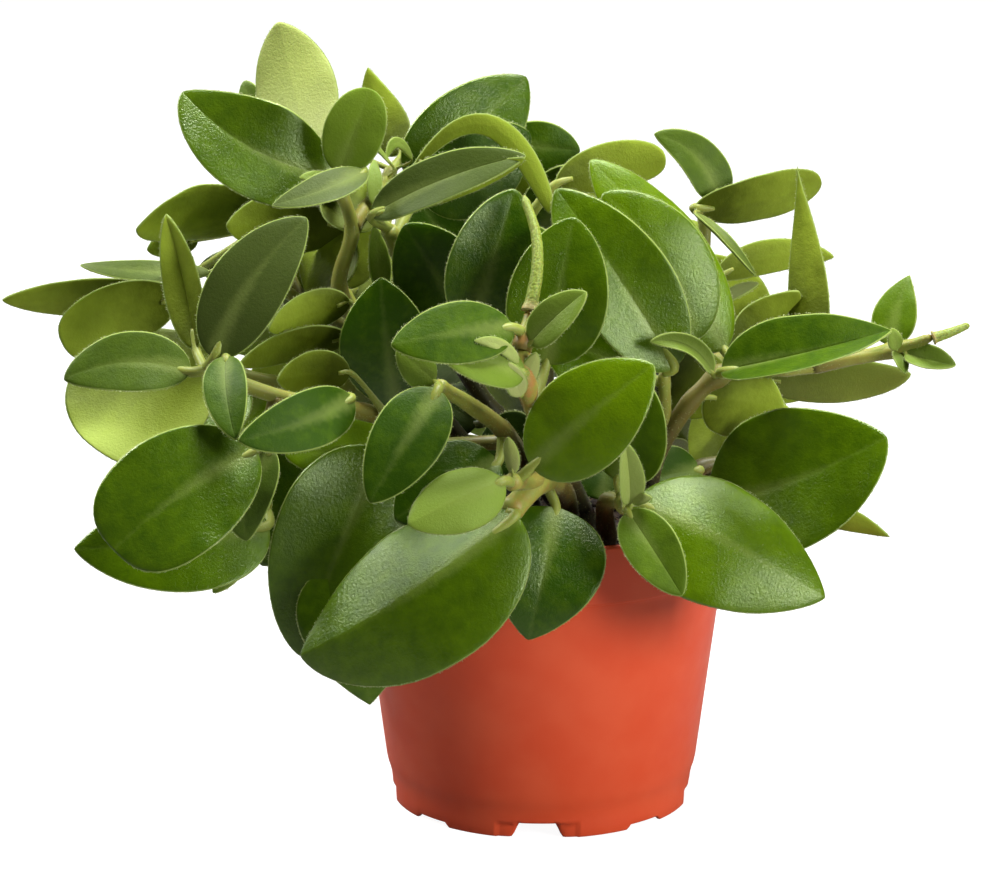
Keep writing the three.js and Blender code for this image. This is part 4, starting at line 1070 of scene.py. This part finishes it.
def leaf_paint(name, upper_roughness, gloss, wrinkle):
    paint = Paint(name)
    upper, edge, rib = paint.value("upper"), paint.value("edge"), paint.value("rib")
    along, tone = paint.value("along"), paint.value("tone")
    cloud = paint.math("SUBTRACT", paint.noise(5.0, 5.0, 0.62), 0.5)
    grain = paint.noise(0.9, 4.0, 0.68)
    top = paint.mix(paint.math("ADD", tone, paint.math("MULTIPLY", cloud, 0.9)), OLD_GREEN, MID_GREEN)
    top = paint.mix(paint.value("young"), top, YOUNG_GREEN)
    # Painted sheen: velvet mixes a grey-green sheen into the upper face's colour.
    top = paint.mix(paint.math("MULTIPLY", paint.value("velvet"), 0.85), top, VELVET_SHEEN)
    rib_width = paint.step(along, 0.0, 0.95, (4.6, 0.9))
    ragged = paint.math("MULTIPLY", paint.math("SUBTRACT", paint.noise(2.0, 3.0), 0.5), 2.6)
    ragged = paint.math("ADD", rib, ragged)
    streak = paint.math("SUBTRACT", 1.0, paint.step(paint.math("DIVIDE", ragged, rib_width), 0.0, 1.0))
    streak = paint.math("MULTIPLY", streak, paint.step(along, 0.0, 0.9, (0.42, 0.07)))
    top = paint.mix(streak, top, RIB_GREEN)
    # Painted light on the undersides: darker towards the leaf's base, lighter towards its tip and with its
    # tone.
    light = paint.math("ADD", paint.step(along, 0.0, 0.8, (-0.4, 0.6)), paint.math("MULTIPLY", tone, 0.5))
    under = paint.mix(paint.math("ADD", light, paint.math("MULTIPLY", cloud, 0.7)), UNDER_DARK, UNDER_BRIGHT)
    colour = paint.mix(paint.step(upper, 0.45, 0.55), under, top)
    # Pale paints a leaf's cream colour, and on a leaf lit from behind the painted light shining through it.
    colour = paint.mix(paint.value("pale"), colour, CREAM)
    colour = paint.mix(paint.step(edge, 0.5, 0.15), colour, MARGIN)
    # Painted shade: the crown's middle is darkened towards BLACK_GREEN.
    colour = paint.mix(paint.value("shade"), colour, BLACK_GREEN)
    roughness = paint.step(upper, 0.45, 0.55, (0.5, upper_roughness))
    normal = paint.bump(grain, 0.35, wrinkle)
    return paint.finish(
        Base_Color=colour,
        Roughness=roughness,
        Normal=normal,
        Subsurface_Weight=0.08,
        Subsurface_Scale=0.0015,
        Subsurface_Radius=(0.5, 1.0, 0.15),
        Specular_IOR_Level=gloss,
        Specular_Tint=(0.86, 1.0, 0.6),
        Sheen_Weight=0.01,
        Sheen_Roughness=0.3,
        Sheen_Tint=(0.85, 0.92, 0.7),
    )


STEM_TAN = (0.330, 0.240, 0.035)
STEM_GREEN = (0.300, 0.350, 0.050)
STEM_PINK = (0.480, 0.230, 0.050)
# STEM_DARK is the old stem's brown, made darker as painted shade.
STEM_DARK = (0.026, 0.020, 0.006)


def stem_paint():
    paint = Paint("peperomia_stem")
    along = paint.value("along")
    blotch = paint.noise(4.0, 3.0)
    age = paint.math("ADD", along, paint.math("SUBTRACT", blotch, 0.5))
    colour = paint.mix(paint.step(age, 0.15, 0.85), STEM_TAN, STEM_GREEN)
    blush = paint.math("MULTIPLY", paint.step(blotch, 0.35, 0.7), paint.value("young"))
    colour = paint.mix(blush, colour, STEM_PINK)
    # Darker towards the stem's foot: partly the old stem's own brown, partly painted shade under the crown.
    colour = paint.mix(paint.step(along, 0.15, 0.75), STEM_DARK, colour)
    # Painted shade: stems in the crown's middle are darkened towards BLACK_GREEN.
    colour = paint.mix(paint.value("shade"), colour, BLACK_GREEN)
    normal = paint.bump(paint.noise(0.7, 3.0), 0.12, 0.5)
    return paint.finish(
        Base_Color=colour,
        Roughness=0.5,
        Normal=normal,
        Subsurface_Weight=0.15,
        Subsurface_Scale=0.0015,
        Sheen_Weight=0.06,
        Sheen_Roughness=0.4,
    )


HAIR_DARK = (0.460, 0.540, 0.200)
HAIR_PALE = (0.660, 0.700, 0.360)


def hair_paint():
    paint = Paint("downy_hair")
    colour = paint.mix(paint.noise(3.0), HAIR_DARK, HAIR_PALE)
    return paint.finish(Base_Color=colour, Roughness=0.6, Subsurface_Weight=0.0)


SPIKE_HOLLOW = (0.190, 0.240, 0.022)
SPIKE_FLORET = (0.300, 0.390, 0.050)
SPIKE_FOOT = (0.360, 0.300, 0.090)


def spike_paint():
    paint = Paint("flower_spike_skin")
    bump, along = paint.value("bump"), paint.value("along")
    # Painted shade: the spike is darker in the hollows between its florets.
    colour = paint.mix(paint.step(bump, -0.8, 0.6), SPIKE_HOLLOW, SPIKE_FLORET)
    colour = paint.mix(paint.step(along, 0.12, 0.0), colour, SPIKE_FOOT)
    normal = paint.bump(paint.noise(0.3, 2.0), 0.06, 0.5)
    return paint.finish(
        Base_Color=colour, Roughness=0.55, Normal=normal, Subsurface_Weight=0.2, Subsurface_Scale=0.001
    )


POT_RED = (0.820, 0.088, 0.025)
POT_PALE = (0.860, 0.112, 0.037)
POT_INNER_SHADE = (0.030, 0.010, 0.005)


def pot_paint():
    paint = Paint("pot_plastic")
    wash = paint.noise(24.0, 3.0)
    fine = paint.noise(0.8, 2.0)
    colour = paint.mix(paint.step(wash, 0.35, 0.7), POT_RED, POT_PALE)
    # Painted shade inside the pot, by its shade value.
    colour = paint.mix(paint.value("shade"), colour, POT_INNER_SHADE)
    roughness = paint.step(paint.noise(9.0, 4.0), 0.3, 0.7, (0.38, 0.46))
    normal = paint.bump(fine, 0.02, 0.35)
    return paint.finish(Base_Color=colour, Roughness=roughness, Normal=normal, Specular_IOR_Level=0.35)


SOIL_WET = (0.012, 0.006, 0.004)
SOIL_BROWN = (0.045, 0.024, 0.013)
SOIL_DRY = (0.120, 0.070, 0.036)
GRAIN_DULL = (0.400, 0.340, 0.260)
GRAIN_PALE = (0.620, 0.570, 0.480)


def soil_paint():
    paint = Paint("compost")
    shade = paint.value("shade")
    blotch = paint.noise(2.2, 4.0)
    dark = paint.mix(paint.step(blotch, 0.35, 0.7), SOIL_WET, SOIL_BROWN)
    colour = paint.mix(paint.step(shade, 0.45, 1.2), dark, SOIL_DRY)
    normal = paint.bump(paint.noise(0.5, 4.0), 0.4, 0.8)
    return paint.finish(Base_Color=colour, Roughness=0.9, Normal=normal)


def grain_paint():
    paint = Paint("pale_grain")
    colour = paint.mix(paint.noise(1.2, 3.0), GRAIN_DULL, GRAIN_PALE)
    return paint.finish(Base_Color=colour, Roughness=0.85, Normal=paint.bump(paint.noise(0.4, 3.0), 0.2, 0.6))


# The studio. A softbox has its place in metres, its width and height, and its watts.
SENSOR = 36.0
FAR_CLIP = 20.0
SOFTBOXES = {
    "overhead": ((0.2, 0.1, 1.2), 0.4, 0.34, 20.0),
    "high_left": ((-0.8, 0.3, 1.0), 0.38, 0.32, 13.0),
    "key_right": ((1.15, -0.9, 0.55), 0.5, 0.5, 17.0),
    "back_left": ((-0.6, 1.0, 0.6), 0.7, 0.7, 5.0),
}
LIT_POINT = (0.0, 0.0, 0.13)
FLOOR_HALF = 6000.0
FLOOR_GREY = (0.22, 0.22, 0.22)
WHITE = (1.0, 1.0, 1.0)
DIM = 0.045                          # how bright the floor and the room are to the plant
FLOOR_BRIGHT, ROOM_BRIGHT = 0.95, 1.0   # and to the eye


def studio():
    scene = bpy.context.scene
    scene.view_settings.view_transform = "Standard"
    lens = bpy.data.cameras.new("camera")
    lens.sensor_width = SENSOR
    lens.lens = SENSOR * VIEW_DISTANCE / (PICTURE_WIDTH * PIXEL)
    lens.clip_end = FAR_CLIP
    camera = bpy.data.objects.new("camera", lens)
    camera.location = to_frame(EYE)
    camera.rotation_euler = Vector(-TOWARD).to_track_quat("-Z", "Y").to_euler()
    scene.collection.objects.link(camera)
    scene.camera = camera
    scene.world = studio_air()
    for name, spec in SOFTBOXES.items():
        softbox(name, *spec)
    paper_floor()


def bright_to_eye(tree, bright):
    """DIM to the plant, and bright where the eye sees it."""
    glow = tree.nodes.new("ShaderNodeMapRange")
    glow.inputs["To Min"].default_value = DIM
    glow.inputs["To Max"].default_value = bright
    light_path = tree.nodes.new("ShaderNodeLightPath")
    tree.links.new(light_path.outputs["Is Camera Ray"], glow.inputs["Value"])
    return glow.outputs[0]


def paper_floor():
    floor = Shape()
    corners = [(x * FLOOR_HALF, y * FLOOR_HALF, 0) for x, y in ((-1, -1), (1, -1), (1, 1), (-1, 1))]
    floor.add(corners, [(0, 1, 2, 3)])
    paint = Paint("floor_white")
    glow = bright_to_eye(paint.tree, FLOOR_BRIGHT)
    paper = paint.finish(Base_Color=FLOOR_GREY, Roughness=0.9, Emission_Color=WHITE, Emission_Strength=glow)
    ground = floor.mesh_object("floor", [paper])


def studio_air():
    world = bpy.data.worlds.new("studio_air")
    world.use_nodes = True
    tree = world.node_tree
    background = tree.nodes["Background"]
    background.inputs["Color"].default_value = (*WHITE, 1.0)
    tree.links.new(bright_to_eye(tree, ROOM_BRIGHT), background.inputs["Strength"])
    return world


def softbox(name, place, wide, tall, power):
    light = bpy.data.lights.new(name, "AREA")
    light.shape = "RECTANGLE"
    light.size, light.size_y = wide, tall
    light.energy = power
    lamp = bpy.data.objects.new(name, light)
    lamp.location = place
    lamp.rotation_euler = (Vector(LIT_POINT) - lamp.location).to_track_quat("-Z", "Y").to_euler()
    bpy.context.scene.collection.objects.link(lamp)


SEED = 11


def build():
    draw = np.random.default_rng(SEED)
    skins = [
        leaf_paint("glossy_leaf", upper_roughness=0.19, gloss=0.65, wrinkle=0.6),
        stem_paint(),
        leaf_paint("downy_leaf", upper_roughness=0.42, gloss=0.18, wrinkle=0.5),
    ]
    down = hair_paint()
    for name, spec in STEMS.items():
        leafy_stem(name, spec, skins, down, draw)
    skin = spike_paint()
    for name, spec in SPIKES.items():
        flower_spike(name, spec, skin, draw)
    fine_pot(pot_paint())
    compost([soil_paint(), grain_paint()], draw)
    studio()


build()
